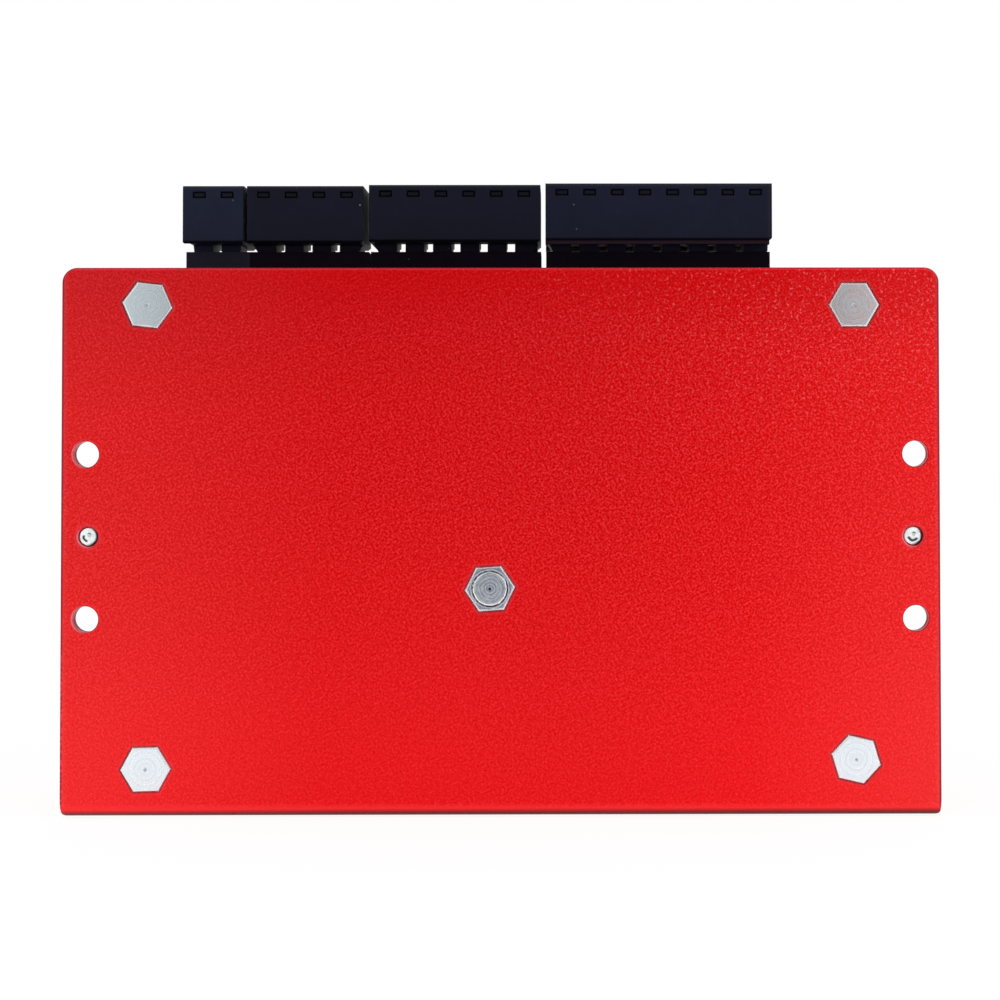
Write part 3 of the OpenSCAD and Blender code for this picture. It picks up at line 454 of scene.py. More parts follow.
epoxy, tree, shader, place = finish_material("moulded_epoxy", IOR=1.5, Specular_IOR_Level=0.35)
_, speck, _, bump = dress(
    tree, shader, place, size=0.00016, rough=(0.5, 0.68), wear=(0.05, 0.05, 0.052), width=0.00012,
    stops=[(0.1, (0.012, 0.012, 0.013)), (0.9, (0.024, 0.024, 0.025))])
# A round ejector mark, sunk into the middle of each package
EJECTOR_R, MARK_DEPTH = 0.00145, 4.0
mark = span(tree, nearest(tree, place, middles("transistor_packages"), (1, 1, 0)), EJECTOR_R, EJECTOR_R + 0.00015)
tree.links.new(calc(tree, "MULTIPLY_ADD", mark, MARK_DEPTH, speck.outputs["Height"]), bump.inputs["Height"])
coat(epoxy, "transistor_packages")

bush_plastic, tree, shader, place = finish_material("white_bush_plastic", IOR=1.5, Specular_IOR_Level=0.4)
dress(tree, shader, place, size=0.0003, rough=(0.36, 0.5), wear=(0.90, 0.89, 0.86),
      stops=[(0.1, (0.70, 0.69, 0.65)), (0.9, (0.80, 0.79, 0.75))])
coat(bush_plastic, "insulating_bushes")


# ---------------------------------------------------------------------------
# Screws. M3 steel screws with cross recesses, cold-headed, rolled and bright
# zinc-plated. They hold the board, the transistors and the cover.

zinc, tree, shader, place = finish_material("bright_zinc", Metallic=0.8, IOR=1.6)
dress(tree, shader, place, size=0.0005, rough=(0.28, 0.4), wear=(0.98, 0.98, 0.97), worn=0.4,
      stops=[(0.1, (0.62, 0.65, 0.67)), (0.9, (0.84, 0.86, 0.87))])
coat(zinc, "board_screws", "transistor_screws")

# The ends of the two cover screws are cut bright; each carries painted dark marks: a crescent of painted
# reflection, a small grey pit in painted shade with a painted shadow on its upper rim, and painted shadow on the
# side away from the window
cut_zinc, tree, shader, place = finish_material("bright_zinc_cut_ends", Metallic=0.5, IOR=1.6)
shade, *_ = dress(
    tree, shader, place, size=0.0005, rough=(0.28, 0.4), wear=(0.98, 0.98, 0.97), worn=0.4,
    stops=[(0.1, (0.72, 0.80, 0.80)), (0.6, (0.87, 0.96, 0.96)), (0.9, (0.93, 0.99, 0.99))])
depth = put(tree, "SeparateXYZ", {0: place}).outputs["Y"]
blot = noise(tree, place, 1800.0, 1.0)
END_DEPTH = 0.0004
PIT, PIT_R, PIT_LIT = Vector((0.0001, 0, 0.0002)), 0.00026, 80
REFLECTION_R, SHADOW_R, AWAY_FROM_WINDOW = 0.00072, 0.00130, 340
for (low, high), turn, reach in zip(islands("cover_screws"), (210, 262), (0.68, 0.35)):
    centre = (low + high) / 2
    radius = calc(tree, "MULTIPLY_ADD", blot, 0.0002, nearest(tree, place, [centre]))
    # A dark crescent of painted reflection
    dark_reflection = calc(tree, "MULTIPLY", band(tree, radius, REFLECTION_R, 0.00024),
                 span(tree, towards(tree, place, centre, turn), reach - 0.15, reach + 0.1))
    # The pit is painted grey as shade, and its upper rim gets a painted shadow
    pit = nearest(tree, place, [centre + PIT])
    pit_rim_shadow = calc(tree, "MULTIPLY", band(tree, pit, PIT_R, 0.00014),
                span(tree, towards(tree, place, centre + PIT, PIT_LIT), 0.2, 0.8, 0.0, 0.8))
    pit = span(tree, pit, PIT_R + 0.00004, PIT_R - 0.00004, 0.0, 0.35)
    # The side away from the window is in the hole's shadow
    lee = calc(tree, "MULTIPLY", band(tree, radius, SHADOW_R, 0.00030),
               span(tree, towards(tree, place, centre, AWAY_FROM_WINDOW), 0.1, 0.7, 0.0, 0.95))
    end = calc(tree, "LESS_THAN", depth, low.y + END_DEPTH)
    # All these dark marks are painted reflection and painted shade
    painted_marks = calc(tree, "MULTIPLY", calc(tree, "MAXIMUM", dark_reflection, pit, pit_rim_shadow, lee), end)
    shade = blend(tree, painted_marks, shade, (0.03, 0.035, 0.045))
tree.links.new(shade, shader.inputs["Base Color"])
coat(cut_zinc, "cover_screws")


# ---------------------------------------------------------------------------
# Circuit board. Glass-epoxy laminate with copper tracks on both faces under a
# green solder mask; white outlines are printed round the parts.

laminate, tree, shader, place = finish_material("green_laminate", IOR=1.5, Specular_IOR_Level=0.5)
shade, speck, _, bump = dress(
    tree, shader, place, size=0.0006, rough=(0.22, 0.34), relief=0.00002,
    stops=[(0.1, (0.004, 0.060, 0.022)), (0.9, (0.007, 0.085, 0.032))])
axes = put(tree, "SeparateXYZ", {0: place})
# Tracks: in each 5 mm field of the board they run one way, 0.8 mm apart, or the field is left plain
FIELD, TRACK = 0.005, 0.0008
field = put(tree, "VectorMath", {0: place, 1: (FIELD, 1.0, FIELD)}, operation="SNAP").outputs[0]
chance = put(tree, "TexWhiteNoise", {"Vector": field}).outputs[0]
track = 0.0
for axis, low, high in (("X", 0.0, 0.42), ("Z", 0.42, 0.8)):
    wave = calc(tree, "FRACT", calc(tree, "DIVIDE", axes.outputs[axis], TRACK))
    wave = calc(tree, "ABSOLUTE", calc(tree, "SUBTRACT", wave, 0.5))
    chosen = calc(tree, "MULTIPLY", calc(tree, "GREATER_THAN", chance, low), calc(tree, "LESS_THAN", chance, high))
    track = calc(tree, "MULTIPLY_ADD", span(tree, wave, 0.20, 0.16), chosen, track)
shade = blend(tree, track, shade, (0.014, 0.16, 0.055))
# White print: a line 0.5 mm outside each part
PRINT_GAP, PRINT_HALF = 0.0005, 0.00008
printed = 0.0
for name in ("gate_drivers", "interface_chips", "optocouplers", "microcontroller", "crystal", "diodes"):
    for low, high in islands(name):
        middle, half = (low + high) / 2, (high - low) / 2
        away = [calc(tree, "SUBTRACT", calc(tree, "ABSOLUTE", calc(tree, "SUBTRACT", axes.outputs[k], middle[k])),
                     half[k] + PRINT_GAP) for k in (0, 2)]
        gap = calc(tree, "ABSOLUTE", calc(tree, "MAXIMUM", *away))
        printed = calc(tree, "MAXIMUM", printed, calc(tree, "LESS_THAN", gap, PRINT_HALF))
shade = blend(tree, printed, shade, (0.72, 0.73, 0.70))
# The sawn edges show the bare yellowish laminate
facing = put(tree, "SeparateXYZ", {0: put(tree, "TexCoord").outputs["Normal"]}).outputs["Y"]
sawn = calc(tree, "LESS_THAN", calc(tree, "ABSOLUTE", facing), 0.5)
plies = put(tree, "Mapping", {"Vector": place, "Scale": (400.0, 6000.0, 400.0)}).outputs[0]
layers = noise(tree, plies, 1.0, 2.0)
shade = blend(tree, sawn, shade, ramp(tree, layers, (0.3, (0.20, 0.17, 0.06)), (0.7, (0.34, 0.31, 0.13))))
tree.links.new(shade, shader.inputs["Base Color"])
tree.links.new(calc(tree, "MULTIPLY_ADD", track, 2.0, speck.outputs["Height"]), bump.inputs["Height"])
coat(laminate, "circuit_board")


# ---------------------------------------------------------------------------
# Chips and small parts. Black epoxy packages on tinned leads, resistors and
# capacitors with tinned ends, a ferrite choke and a canned crystal, soldered
# to the front of the board.

ROUND_IT = 0.0001  # how far round a part its own finish reaches


def ends(tree, place, name, axis, length):
    """1 on both ends, along an axis, of each solid in a CAD node, and 0 between them."""
    parts = put(tree, "SeparateXYZ", {0: place})
    rows = {}
    for low, high in islands(name):
        key = (round((low[axis] + high[axis]) / 2, 5), round((high[axis] - low[axis]) / 2, 5))
        rows.setdefault(key, []).append((low[2 - axis], high[2 - axis]))
    total = 0.0
    for (middle, half), sides in rows.items():
        first, last = min(side[0] for side in sides), max(side[1] for side in sides)
        away = calc(tree, "ABSOLUTE", calc(tree, "SUBTRACT", parts.outputs[axis], middle))
        beside = calc(tree, "ABSOLUTE", calc(tree, "SUBTRACT", parts.outputs[2 - axis], (first + last) / 2))
        mine = calc(tree, "MULTIPLY", calc(tree, "LESS_THAN", away, half + ROUND_IT),
                    calc(tree, "LESS_THAN", beside, (last - first) / 2 + ROUND_IT))
        total = calc(tree, "MULTIPLY_ADD", mine, calc(tree, "GREATER_THAN", away, half - length), total)
    return total


def leaded(name, node, length, axes, stops, rough=(0.5, 0.65), notch=0.0):
    """A material for a CAD node of parts with tinned ends or leads of a given length."""
    material, tree, shader, place = finish_material(name, IOR=1.5, Specular_IOR_Level=0.35)
    shade, speck, _, bump = dress(tree, shader, place, size=0.0002, rough=rough, stops=stops,
                                  wear=[min(1, 1.5 * c + 0.02) for c in stops[-1][1]], width=0.0001)
    tinned = 0.0
    for axis in axes:
        tinned = calc(tree, "MAXIMUM", ends(tree, place, node, axis, length), tinned)
    metal = ramp(tree, speck.outputs["Mask"], (0.1, (0.60, 0.60, 0.58)), (0.9, (0.80, 0.80, 0.78)))
    tree.links.new(blend(tree, tinned, shade, metal), shader.inputs["Base Color"])
    tree.links.new(calc(tree, "MULTIPLY", tinned, 0.85), shader.inputs["Metallic"])
    if notch:
        # A round dimple marks the corner of the first lead
        corners = [Vector((low.x + notch, 0, high.z - length - notch)) for low, high in islands(node)]
        dimple = span(tree, nearest(tree, place, corners), 0.00025, 0.00035)
        tree.links.new(calc(tree, "MULTIPLY_ADD", dimple, 5.0, speck.outputs["Height"]), bump.inputs["Height"])
    coat(material, node)


LEAD, FLAT_LEAD, CAP = 0.00098, 0.00088, 0.0005
black = [(0.1, (0.012, 0.012, 0.013)), (0.9, (0.026, 0.026, 0.027))]
leaded("gate_driver_epoxy", "gate_drivers", LEAD, (2,), black, notch=0.0008)
leaded("interface_chip_epoxy", "interface_chips", LEAD, (2,), black, notch=0.0008)
leaded("controller_epoxy", "microcontroller", FLAT_LEAD, (0, 2), black, notch=0.0017)
leaded("optocoupler_plastic", "optocouplers", LEAD, (2,), [(0.1, (0.66, 0.66, 0.62)), (0.9, (0.76, 0.76, 0.72))],
       notch=0.0009)
leaded("diode_epoxy", "diodes", CAP, (0,), black)
leaded("shunt_film", "current_shunts", 0.0007, (0,), [(0.1, (0.02, 0.03, 0.02)), (0.9, (0.03, 0.045, 0.03))])
leaded("small_part_ceramic", "chip_parts", CAP, (2,), [(0.1, (0.22, 0.15, 0.09)), (0.9, (0.33, 0.24, 0.15))],
       rough=(0.35, 0.5))

can, tree, shader, place = finish_material("nickel_can", Metallic=0.9, IOR=1.6)
dress(tree, shader, place, size=0.0003, rough=(0.22, 0.34), wear=(0.9, 0.88, 0.84),
      stops=[(0.1, (0.60, 0.58, 0.54)), (0.9, (0.74, 0.72, 0.68))])
coat(can, "crystal")

ferrite, tree, shader, place = finish_material("sintered_ferrite", IOR=2.0, Specular_IOR_Level=0.3)
dress(tree, shader, place, size=0.00022, rough=(0.5, 0.7), wear=(0.10, 0.10, 0.10), relief=0.00006, strength=0.5,
      stops=[(0.1, (0.022, 0.022, 0.024)), (0.9, (0.050, 0.050, 0.052))])
coat(ferrite, "buck_inductor")

# Bulk capacitors: aluminium cans in printed sleeves, with a light stripe at the negative lead
sleeve, tree, shader, place = finish_material("capacitor_sleeve", IOR=1.5, Specular_IOR_Level=0.5)
shade, speck, _, bump = dress(
    tree, shader, place, size=0.0005, rough=(0.22, 0.34), wear=(0.05, 0.06, 0.14),
    stops=[(0.1, (0.006, 0.010, 0.045)), (0.9, (0.010, 0.016, 0.062))])
cans = islands("bulk_capacitors")
radius = nearest(tree, place, middles("bulk_capacitors"))
axes = put(tree, "SeparateXYZ", {0: place})
RIM_R, TOP_DEPTH, STRIPE = 0.00605, 0.0004, 0.0009
bare = calc(tree, "MULTIPLY", calc(tree, "LESS_THAN", radius, RIM_R),
            calc(tree, "GREATER_THAN", axes.outputs["Y"], cans[0][1].y - TOP_DEPTH))
stripe = calc(tree, "LESS_THAN", axes.outputs["X"], cans[0][0].x + STRIPE)
shade = blend(tree, calc(tree, "MULTIPLY", stripe, 0.9), shade, (0.42, 0.46, 0.52))
metal = ramp(tree, speck.outputs["Mask"], (0.1, (0.66, 0.67, 0.68)), (0.9, (0.80, 0.81, 0.82)))
shade = blend(tree, bare, shade, metal)
# The can's top is scored with a cross, along which it opens if the pressure rises
ARM, ARM_HALF = 0.0045, 0.00012
cross = 0.0
for low, high in cans:
    arms = [calc(tree, "ABSOLUTE", calc(tree, "SUBTRACT", axes.outputs[k], (low[k] + high[k]) / 2)) for k in (0, 2)]
    inside = calc(tree, "LESS_THAN", calc(tree, "MAXIMUM", *arms), ARM)
    line = calc(tree, "LESS_THAN", calc(tree, "MINIMUM", *arms), ARM_HALF)
    cross = calc(tree, "MAXIMUM", cross, calc(tree, "MULTIPLY", inside, line))
cross = calc(tree, "MULTIPLY", cross, bare)
shade = blend(tree, cross, shade, (0.20, 0.20, 0.21))
tree.links.new(shade, shader.inputs["Base Color"])
tree.links.new(calc(tree, "MULTIPLY", bare, 0.9), shader.inputs["Metallic"])
level = calc(tree, "SUBTRACT", 1.0, cross)
tree.links.new(calc(tree, "MULTIPLY_ADD", level, 4.0, speck.outputs["Height"]), bump.inputs["Height"])
coat(sleeve, "bulk_capacitors")


# ---------------------------------------------------------------------------
# Solder joints. Each pin and lead that passes through the board has a bright
# cone of solder round it on the board's back.

solder, tree, shader, place = finish_material("bright_solder", Metallic=0.9, IOR=1.6)
dress(tree, shader, place, size=0.0004, rough=(0.16, 0.3), wear=(0.9, 0.9, 0.88),
      stops=[(0.1, (0.62, 0.62, 0.61)), (0.9, (0.80, 0.80, 0.79))])

PIN_HALF = 0.0005
WIDEST_LEAD = 0.002  # wider pieces of the transistors' frames are their tabs
board_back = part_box("circuit_board")[0].y
pin_spots = [((low.x + high.x) / 2, low.z + PIN_HALF) for low, high in islands("header_pins")]
lead_spots = [((low.x + high.x) / 2, (low.z + high.z) / 2)
              for low, high in islands("transistor_frames") if high.x - low.x < WIDEST_LEAD]


def solder_tree():
    """Geometry nodes: a small cone of solder on each point."""
    tree = bpy.data.node_groups.new("solder_cones", "GeometryNodeTree")
    sockets = {}
    for label, kind, value in (("Geometry", "Geometry", None), ("Foot", "Float", 0.0011), ("Tip", "Float", 0.00075),
                               ("Height", "Float", 0.001), ("Sides", "Int", 18), ("Material", "Material", None)):
        socket = tree.interface.new_socket(label, in_out="INPUT", socket_type="NodeSocket" + kind)
        if value is not None:
            socket.default_value = value
        sockets[label] = socket.identifier
    tree.interface.new_socket("Geometry", in_out="OUTPUT", socket_type="NodeSocketGeometry")
    given, result = tree.nodes.new("NodeGroupInput").outputs, tree.nodes.new("NodeGroupOutput")
    cone = put(tree, "GeometryNodeMeshCone", {
        "Side Segments": 3, "Vertices": given["Sides"], "Radius Bottom": given["Foot"],
        "Radius Top": given["Tip"], "Depth": given["Height"]}).outputs["Mesh"]
    # The cone's side is drawn in towards the pin, as molten solder is
    where = put(tree, "GeometryNodeInputPosition").outputs[0]
    part = calc(tree, "DIVIDE", put(tree, "SeparateXYZ", {0: where}).outputs["Z"], given["Height"])
    sag = put(tree, "MapRange", {"Value": part, "To Min": 1.0, "To Max": 0.86},
              interpolation_type="SMOOTHSTEP").outputs[0]
    pull = put(tree, "CombineXYZ", {"X": sag, "Y": sag, "Z": 1.0}).outputs[0]
    drawn = put(tree, "VectorMath", {0: where, 1: pull}, operation="MULTIPLY").outputs[0]
    cone = put(tree, "GeometryNodeSetPosition", {"Geometry": cone, "Position": drawn}).outputs[0]
    spread = put(tree, "GeometryNodeInstanceOnPoints", {
        "Points": given["Geometry"], "Instance": cone, "Rotation": (math.radians(90), 0, 0)}).outputs[0]
    real = put(tree, "GeometryNodeRealizeInstances", {0: spread}).outputs[0]
    paint = put(tree, "GeometryNodeSetMaterial", {"Geometry": real, "Material": given["Material"]})
    tree.links.new(paint.outputs[0], result.inputs[0])
    return tree, sockets


def link_object(name, data):
    """An object in the scene that holds a mesh, a lamp or a camera."""
    made = bpy.data.objects.new(name, data)
    bpy.context.scene.collection.objects.link(made)
    return made


def solder_cones(name, spots, foot, tip, height):
    """Solder cones on the board's back, baked into one mesh."""
    mesh = bpy.data.meshes.new(name)
    mesh.from_pydata([(x, board_back, z) for x, z in spots], [], [])
    holder = link_object(name + "_points", mesh)
    modifier = holder.modifiers.new("solder", "NODES")
    modifier.node_group = cones
    for label, value in (("Foot", foot), ("Tip", tip), ("Height", height), ("Material", solder)):
        modifier[cone_sockets[label]] = value
    bpy.context.view_layer.update()
    ready = holder.evaluated_get(bpy.context.evaluated_depsgraph_get())
    baked = bpy.data.meshes.new_from_object(ready)
    baked.name = name
    bpy.data.objects.remove(holder)
    for face in baked.polygons:
        face.use_smooth = True
    piece = link_object(name, baked)
    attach(piece, "case")


cones, cone_sockets = solder_tree()
solder_cones("pin_solder", pin_spots, foot=0.0013, tip=0.00085, height=0.0011)
solder_cones("lead_solder", lead_spots, foot=0.00105, tip=0.0006, height=0.0010)


# ---------------------------------------------------------------------------
# Headers and plugs. Moulded in black, slightly blue polyamide; tinned pins
# stand in the headers, and the plugs hold tinned contacts.

END_BEVEL = 0.00012  # at the ends of each plug's back face


def toned(colour, factor):
    """A colour made darker or lighter."""
    return [part * factor for part in colour]


def black_plastic(name, dark, light, level, back=None, side=None, underside=None):
    """A moulded black material. Plugs also have the place of their back face and the painted-light colour of their
    ends, and the largest one the height of its underside."""
    material, tree, shader, place = finish_material(name, IOR=1.5, Specular_IOR_Level=level)
    shade, _, rim, _ = dress(tree, shader, place, size=0.0003, rough=(0.5, 0.64), width=0.0003, strength=0.2,
                             stops=[(0.1, dark), (0.9, light)])
    cloud = noise(tree, place, 160.0, 3.0)
    shade = blend(tree, span(tree, cloud, 0.35, 0.65, 0.0, 0.4), shade, toned(dark, 0.7))
    if back is None:
        # Corners get a painted highlight, and on the plugs they are left as they are
        shade = blend(tree, calc(tree, "MULTIPLY", rim.outputs["Mask"], 0.6), shade, toned(light, 2.6))
    # A few specks of dust lie on the faces
    dust = put(tree, "TexVoronoi", {"Vector": place, "Scale": 700.0, "Randomness": 1.0}).outputs["Distance"]
    dots = zone(tree, (dust, 0.10, 0.06), (noise(tree, place, 900.0, 0.0), 0.68, 0.72))
    shade = blend(tree, dots, shade, (0.16, 0.16, 0.18))
    axes = put(tree, "SeparateXYZ", {0: place})
    facing = put(tree, "SeparateXYZ", {0: put(tree, "TexCoord").outputs["Normal"]})
    rearward = calc(tree, "LESS_THAN", facing.outputs["Y"], -0.5)
    if side:
        # The ends get painted light: a paler colour, with dust in their pores
        pores = noise(tree, place, 2600.0, 1.0)
        lit_dusty_ends = blend(tree, span(tree, pores, 0.60, 0.72), side, toned(side, 3.2))
        endways = calc(tree, "GREATER_THAN", calc(tree, "ABSOLUTE", facing.outputs["X"]), 0.9)
        shade = blend(tree, endways, shade, lit_dusty_ends)
    if back is not None:
        # Grooves and edges just behind the face that carries them get painted shade
        sunk_shade = calc(tree, "SUBTRACT", axes.outputs["Y"], back)
        sunk_shade = zone(tree, (sunk_shade, 0.00003, 0.00012), (sunk_shade, 0.0006, 0.0005))
        shade = blend(tree, sunk_shade, shade, toned(dark, 0.3))
        # Each back face has a dark line of painted shade along its top edge, and the last one along its far end
        # too, and a painted highlight pales it towards that line.
        # Gaps to the other ends count ten times, which keeps them plain.
        gap = -1.0
        for low, high in map(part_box, housings):
            inside = calc(tree, "MINIMUM", calc(tree, "SUBTRACT", axes.outputs["X"], low.x),
                          calc(tree, "SUBTRACT", high.x, axes.outputs["X"]))
            inside = calc(tree, "MINIMUM", calc(tree, "MULTIPLY", inside, 10.0),
                          calc(tree, "SUBTRACT", high.z, axes.outputs["Z"]))
            gap = calc(tree, "MAXIMUM", gap, inside)
        far_end = max(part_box(name)[1].x for name in housings) - END_BEVEL
        gap = calc(tree, "MINIMUM", gap, calc(tree, "SUBTRACT", far_end, axes.outputs["X"]))
        painted_edge_light = calc(tree, "MULTIPLY", rearward, span(tree, gap, 0.0006, 0.00015, 0.0, 0.7))
        shade = blend(tree, painted_edge_light, shade, [part * k for part, k in zip(light, (2.1, 1.75, 1.1))])
        line = calc(tree, "MULTIPLY", rearward, span(tree, gap, 0.00020, 0.00010, 0.0, 0.9))
        shade = blend(tree, line, shade, toned(dark, 0.3))
    if underside:
        # The largest plug hangs lower: the bevel along its lower edge has painted shade, and the inner face of the
        # lip in front of the header is painted pale, as painted light that comes in through the slots
        largest_low, largest_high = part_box("header_8_pole")
        above = calc(tree, "SUBTRACT", axes.outputs["Z"], underside)
        largest = calc(tree, "GREATER_THAN", axes.outputs["X"], largest_low.x - 0.0005)
        behind = calc(tree, "MULTIPLY", largest, calc(tree, "LESS_THAN", axes.outputs["Y"], back + 0.0006))
        low_edge_shade = calc(tree, "MULTIPLY", behind, span(tree, above, 0.0001, -0.0001))
        shade = blend(tree, low_edge_shade, shade, (0.016, 0.006, 0.013))
        lip_light = calc(tree, "MULTIPLY", rearward, calc(tree, "GREATER_THAN", axes.outputs["Y"], largest_high.y),
                   largest, span(tree, above, 0.0, -0.0001))
        shade = blend(tree, lip_light, shade, (0.70, 0.95, 0.98))
    tree.links.new(shade, shader.inputs["Base Color"])
    return material


def named(start):
    """The CAD nodes whose names begin in one way."""
    return [name for name in frame["nodes"] if name.startswith(start)]


# The header of two poles is paler than the others
housings = named("plug_housing")
pale_header = named("header_2")
coat(black_plastic("header_polyamide", (0.0024, 0.0007, 0.0038), (0.0054, 0.0019, 0.0080), 0.06),
     *[name for name in named("header_") if name not in (*pale_header, "header_pins")])
coat(black_plastic("pale_header_polyamide", (0.0130, 0.0100, 0.0210), (0.0185, 0.0145, 0.0305), 0.1), *pale_header)
# Three batches of plugs: that of eight poles is a little paler, and that of two poles paler still
batches = {"plug_polyamide": ((0.0035, 0.0043, 0.0125), (0.0055, 0.0066, 0.0185), ("4", "6")),
           "paler_plug_polyamide": ((0.0060, 0.0075, 0.0205), (0.0093, 0.0112, 0.0297), ("8",)),
           "palest_plug_polyamide": ((0.0075, 0.0105, 0.0260), (0.0115, 0.0152, 0.0370), ("2",))}
UNDERSIDE = 0.00135  # of the plug of eight poles, above its header's rim
# The plugs' ends get a paler colour as painted light
for name, (dark, light, poles) in batches.items():
    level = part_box("header_8_pole")[1].z + UNDERSIDE if "8" in poles else None
    coat(black_plastic(name, dark, light, 0.12, back=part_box("plug_housing_8_pole")[0].y,
                       side=(0.050, 0.055, 0.075), underside=level),
         *[housing for housing in housings if housing.split("_")[2] in poles])
coat(tin, *named("plug_contacts"))

nickel, tree, shader, place = finish_material("nickel_plated_brass", Metallic=0.9, IOR=1.6)
dress(tree, shader, place, size=0.0002, rough=(0.26, 0.4), wear=(0.86, 0.74, 0.52), worn=0.35, width=0.0001,
      stops=[(0.1, (0.60, 0.57, 0.52)), (0.9, (0.74, 0.71, 0.66))])
coat(nickel, *named("clamp_cages"))

# Clamp screws: turned steel, zinc-plated, with a driver slot across a head that shows turning rings
driver_metal, tree, shader, place = finish_material("clamp_screw_zinc", Metallic=0.85, IOR=1.6)
shade, *_ = dress(
    tree, shader, place, size=0.0003, rough=(0.26, 0.38), wear=(0.95, 0.95, 0.94), width=0.00012,
    stops=[(0.1, (0.56, 0.58, 0.60)), (0.9, (0.76, 0.78, 0.79))])
clamp_screws = named("clamp_screw")
heads = [sum(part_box(name), Vector()) / 2 for name in clamp_screws]
rings = turned_rings(tree, nearest(tree, place, heads), place, wobble=0.0001, lines=7000.0)
shade = blend(tree, span(tree, rings, 0.35, 0.65, 0.0, 0.5), shade, (0.42, 0.44, 0.46))
tree.links.new(shade, shader.inputs["Base Color"])
coat(driver_metal, *clamp_screws)


# ---------------------------------------------------------------------------
# Status lamps. Two round light-emitting diodes with green lenses, in a black
# holder, look out through the cover's top wall.

lens, tree, shader, place = finish_material("green_lens", IOR=1.55, Transmission_Weight=0.55)
dress(tree, shader, place, size=0.0006, rough=(0.10, 0.2), wear=(0.25, 0.85, 0.35), strength=0.1,
      stops=[(0.1, (0.03, 0.42, 0.08)), (0.9, (0.05, 0.55, 0.12))])
coat(lens, "lamps")
coat(black_plastic("holder_polyamide", (0.006, 0.006, 0.007), (0.011, 0.011, 0.012), 0.3), "lamp_holder")

assert coated == set(frame["nodes"]), set(frame["nodes"]) - coated


# ---------------------------------------------------------------------------
# Studio. A white table and a white surround. White cards stand left and right
# behind the camera, a dim one between them, and a grey mat lies under it. Three
# small lamps light the plate's foot and both its ends.

def rectangle(low, high):
    """The corners of a rectangle in their order, as pairs."""
    return [low, (high[0], low[1]), high, (low[0], high[1])]


def flat_sheet(name, corners, material):
    """One face of the studio."""
    mesh = bpy.data.meshes.new(name)
    mesh.from_pydata(corners, [], [tuple(range(len(corners)))])
    mesh.materials.append(material)
    made = link_object(name, mesh)
    return made


def seen_white(tree):
    """1 for rays that come from the camera, from gloss or through glass."""
    path = put(tree, "LightPath")
    total = calc(tree, "MAXIMUM", path.outputs["Is Camera Ray"], path.outputs["Is Glossy Ray"])
    return calc(tree, "MAXIMUM", total, path.outputs["Is Transmission Ray"])


WORLD_LIGHT = 0.6
world = bpy.data.worlds.new("surround")
bpy.context.scene.world = world
world.use_nodes = True
sky = world.node_tree.nodes["Background"]
strength = calc(world.node_tree, "MULTIPLY_ADD", seen_white(world.node_tree), 1 - WORLD_LIGHT, WORLD_LIGHT)
world.node_tree.links.new(strength, sky.inputs["Strength"])
sky.inputs["Color"].default_value = (1, 1, 1, 1)

FLOOR_SEEN, FLOOR_REFLECTED = 0.45, 0.85
OVEREXPOSED = 0.8
REACH = 3.0
floor_z = cad_box[0][2]
table, tree = empty_material("white_table")
matt = put(tree, "BsdfDiffuse", {"Color": (0.9, 0.9, 0.9, 1)})
path = put(tree, "LightPath")
mirrored = calc(tree, "MAXIMUM", path.outputs["Is Glossy Ray"], path.outputs["Is Transmission Ray"])
level = calc(tree, "MULTIPLY_ADD", mirrored, FLOOR_REFLECTED,
             calc(tree, "MULTIPLY", path.outputs["Is Camera Ray"], FLOOR_SEEN))
glow = put(tree, "Emission", {"Color": (1, 1, 1, 1), "Strength": level})
both = put(tree, "AddShader", {0: matt.outputs[0], 1: glow.outputs[0]})
# To the camera the table is overexposed: shadows and the red plate's glow on it are faint
burnt = put(tree, "Emission", {"Color": (1, 1, 1, 1), "Strength": 1.0})
shown = put(tree, "MixShader", {0: calc(tree, "MULTIPLY", path.outputs["Is Camera Ray"], OVEREXPOSED),
                                1: both.outputs[0], 2: burnt.outputs[0]})
tree.links.new(shown.outputs[0], put(tree, "OutputMaterial").inputs[0])
flat_sheet("table_top", [(x, y, floor_z) for x, y in rectangle((-REACH, -REACH), (REACH, REACH))], table)

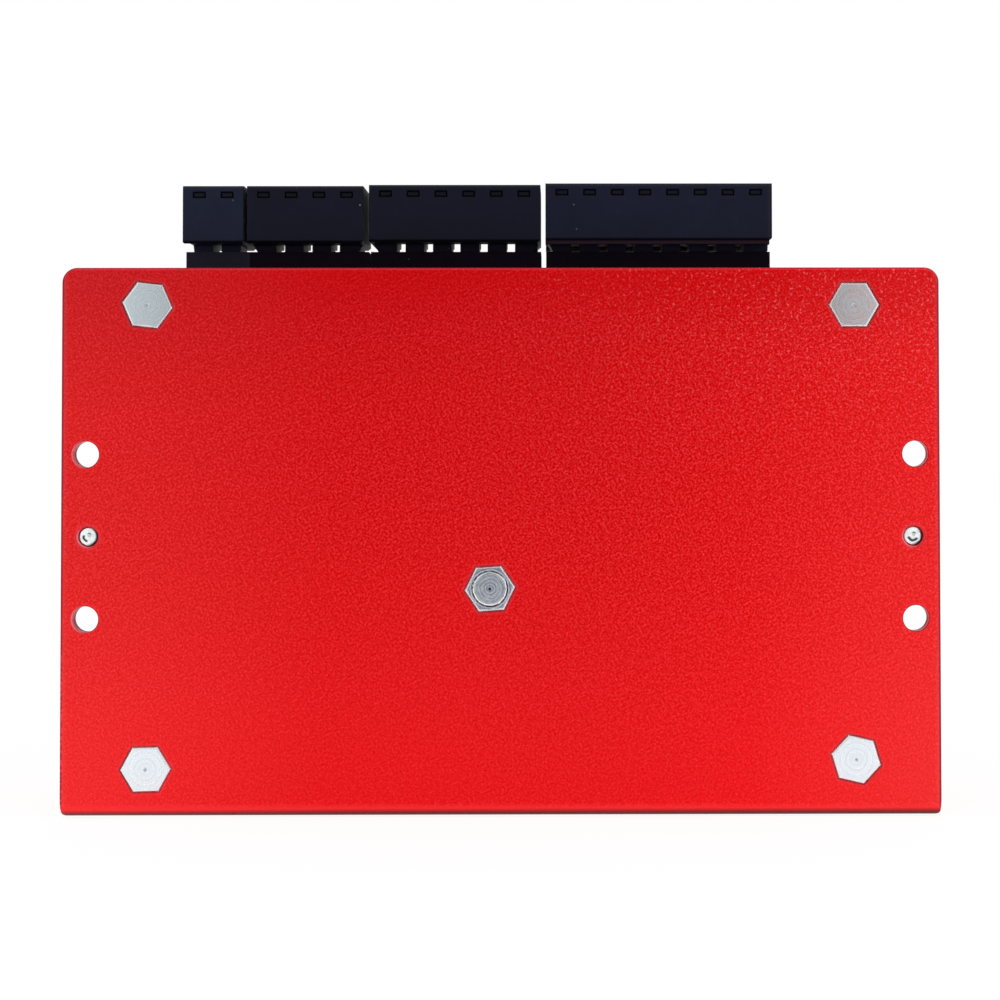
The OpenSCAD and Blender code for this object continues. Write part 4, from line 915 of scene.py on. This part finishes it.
# Each card's left end, right end and brightness
CARD_Y, CARD_TOP, CARD_LIFT = -0.30, 0.45, 0.0005
CARD_LEFT, CARD_RIGHT, CARD_END = -0.12, 0.112, 0.5
CARDS = {
    "camera_card": (CARD_LEFT, CARD_RIGHT, 0.14),
    "left_card": (-CARD_END, CARD_LEFT, 1.55),
    "right_card": (CARD_RIGHT, CARD_END, 1.55),
}
MAT_FRONT, MAT_LIFT, MAT_LEVEL = -0.11, 0.0003, 0.45


def glowing(name, corners, level):
    """A sheet of one brightness, which the camera doesn't see."""
    paper, tree = empty_material(name)
    glow = put(tree, "Emission", {"Color": (1, 1, 1, 1), "Strength": level})
    tree.links.new(glow.outputs[0], put(tree, "OutputMaterial").inputs[0])
    flat_sheet(name, corners, paper).visible_camera = False


for name, (left, right, level) in CARDS.items():
    corners = rectangle((left, floor_z + CARD_LIFT), (right, CARD_TOP))
    glowing(name, [(x, CARD_Y, z) for x, z in corners], level)
corners = rectangle((CARD_LEFT, CARD_Y), (CARD_RIGHT, MAT_FRONT))
glowing("camera_mat", [(x, y, floor_z + MAT_LIFT) for x, y in corners], MAT_LEVEL)


def lamp(name, place, aim, width, depth, power):
    """A rectangular lamp that the camera and glossy rays don't see."""
    light = bpy.data.lights.new(name, "AREA")
    light.shape = "RECTANGLE"
    light.size, light.size_y, light.energy = width, depth, power
    made = link_object(name, light)
    made.location = place
    made.rotation_euler = (Vector(aim) - Vector(place)).to_track_quat("-Z", "Y").to_euler()
    made.visible_camera = made.visible_glossy = False


lamp("low_lamp", (0.0, -0.06, -0.034), (0, 0, -0.034), 0.16, 0.005, 0.012)
lamp("left_lamp", (-0.12, -0.06, -0.03), (-0.05, 0, -0.03), 0.02, 0.01, 0.012)
lamp("right_lamp", (0.16, -0.10, -0.02), (0, 0, -0.01), 0.03, 0.03, 0.04)

camera = bpy.data.cameras.new("camera")
camera.lens, camera.sensor_width = 67.2, 36.0
camera.shift_x, camera.shift_y = -0.0694, -0.1036
camera.clip_start = 0.01
eye = link_object("camera", camera)
eye.location = (0.00773, -0.25, 0.01268)
eye.rotation_euler = tuple(math.radians(angle) for angle in (91.382, 0.0635, -0.3239))
bpy.context.scene.camera = eye
bpy.context.scene.view_settings.view_transform = "Standard"
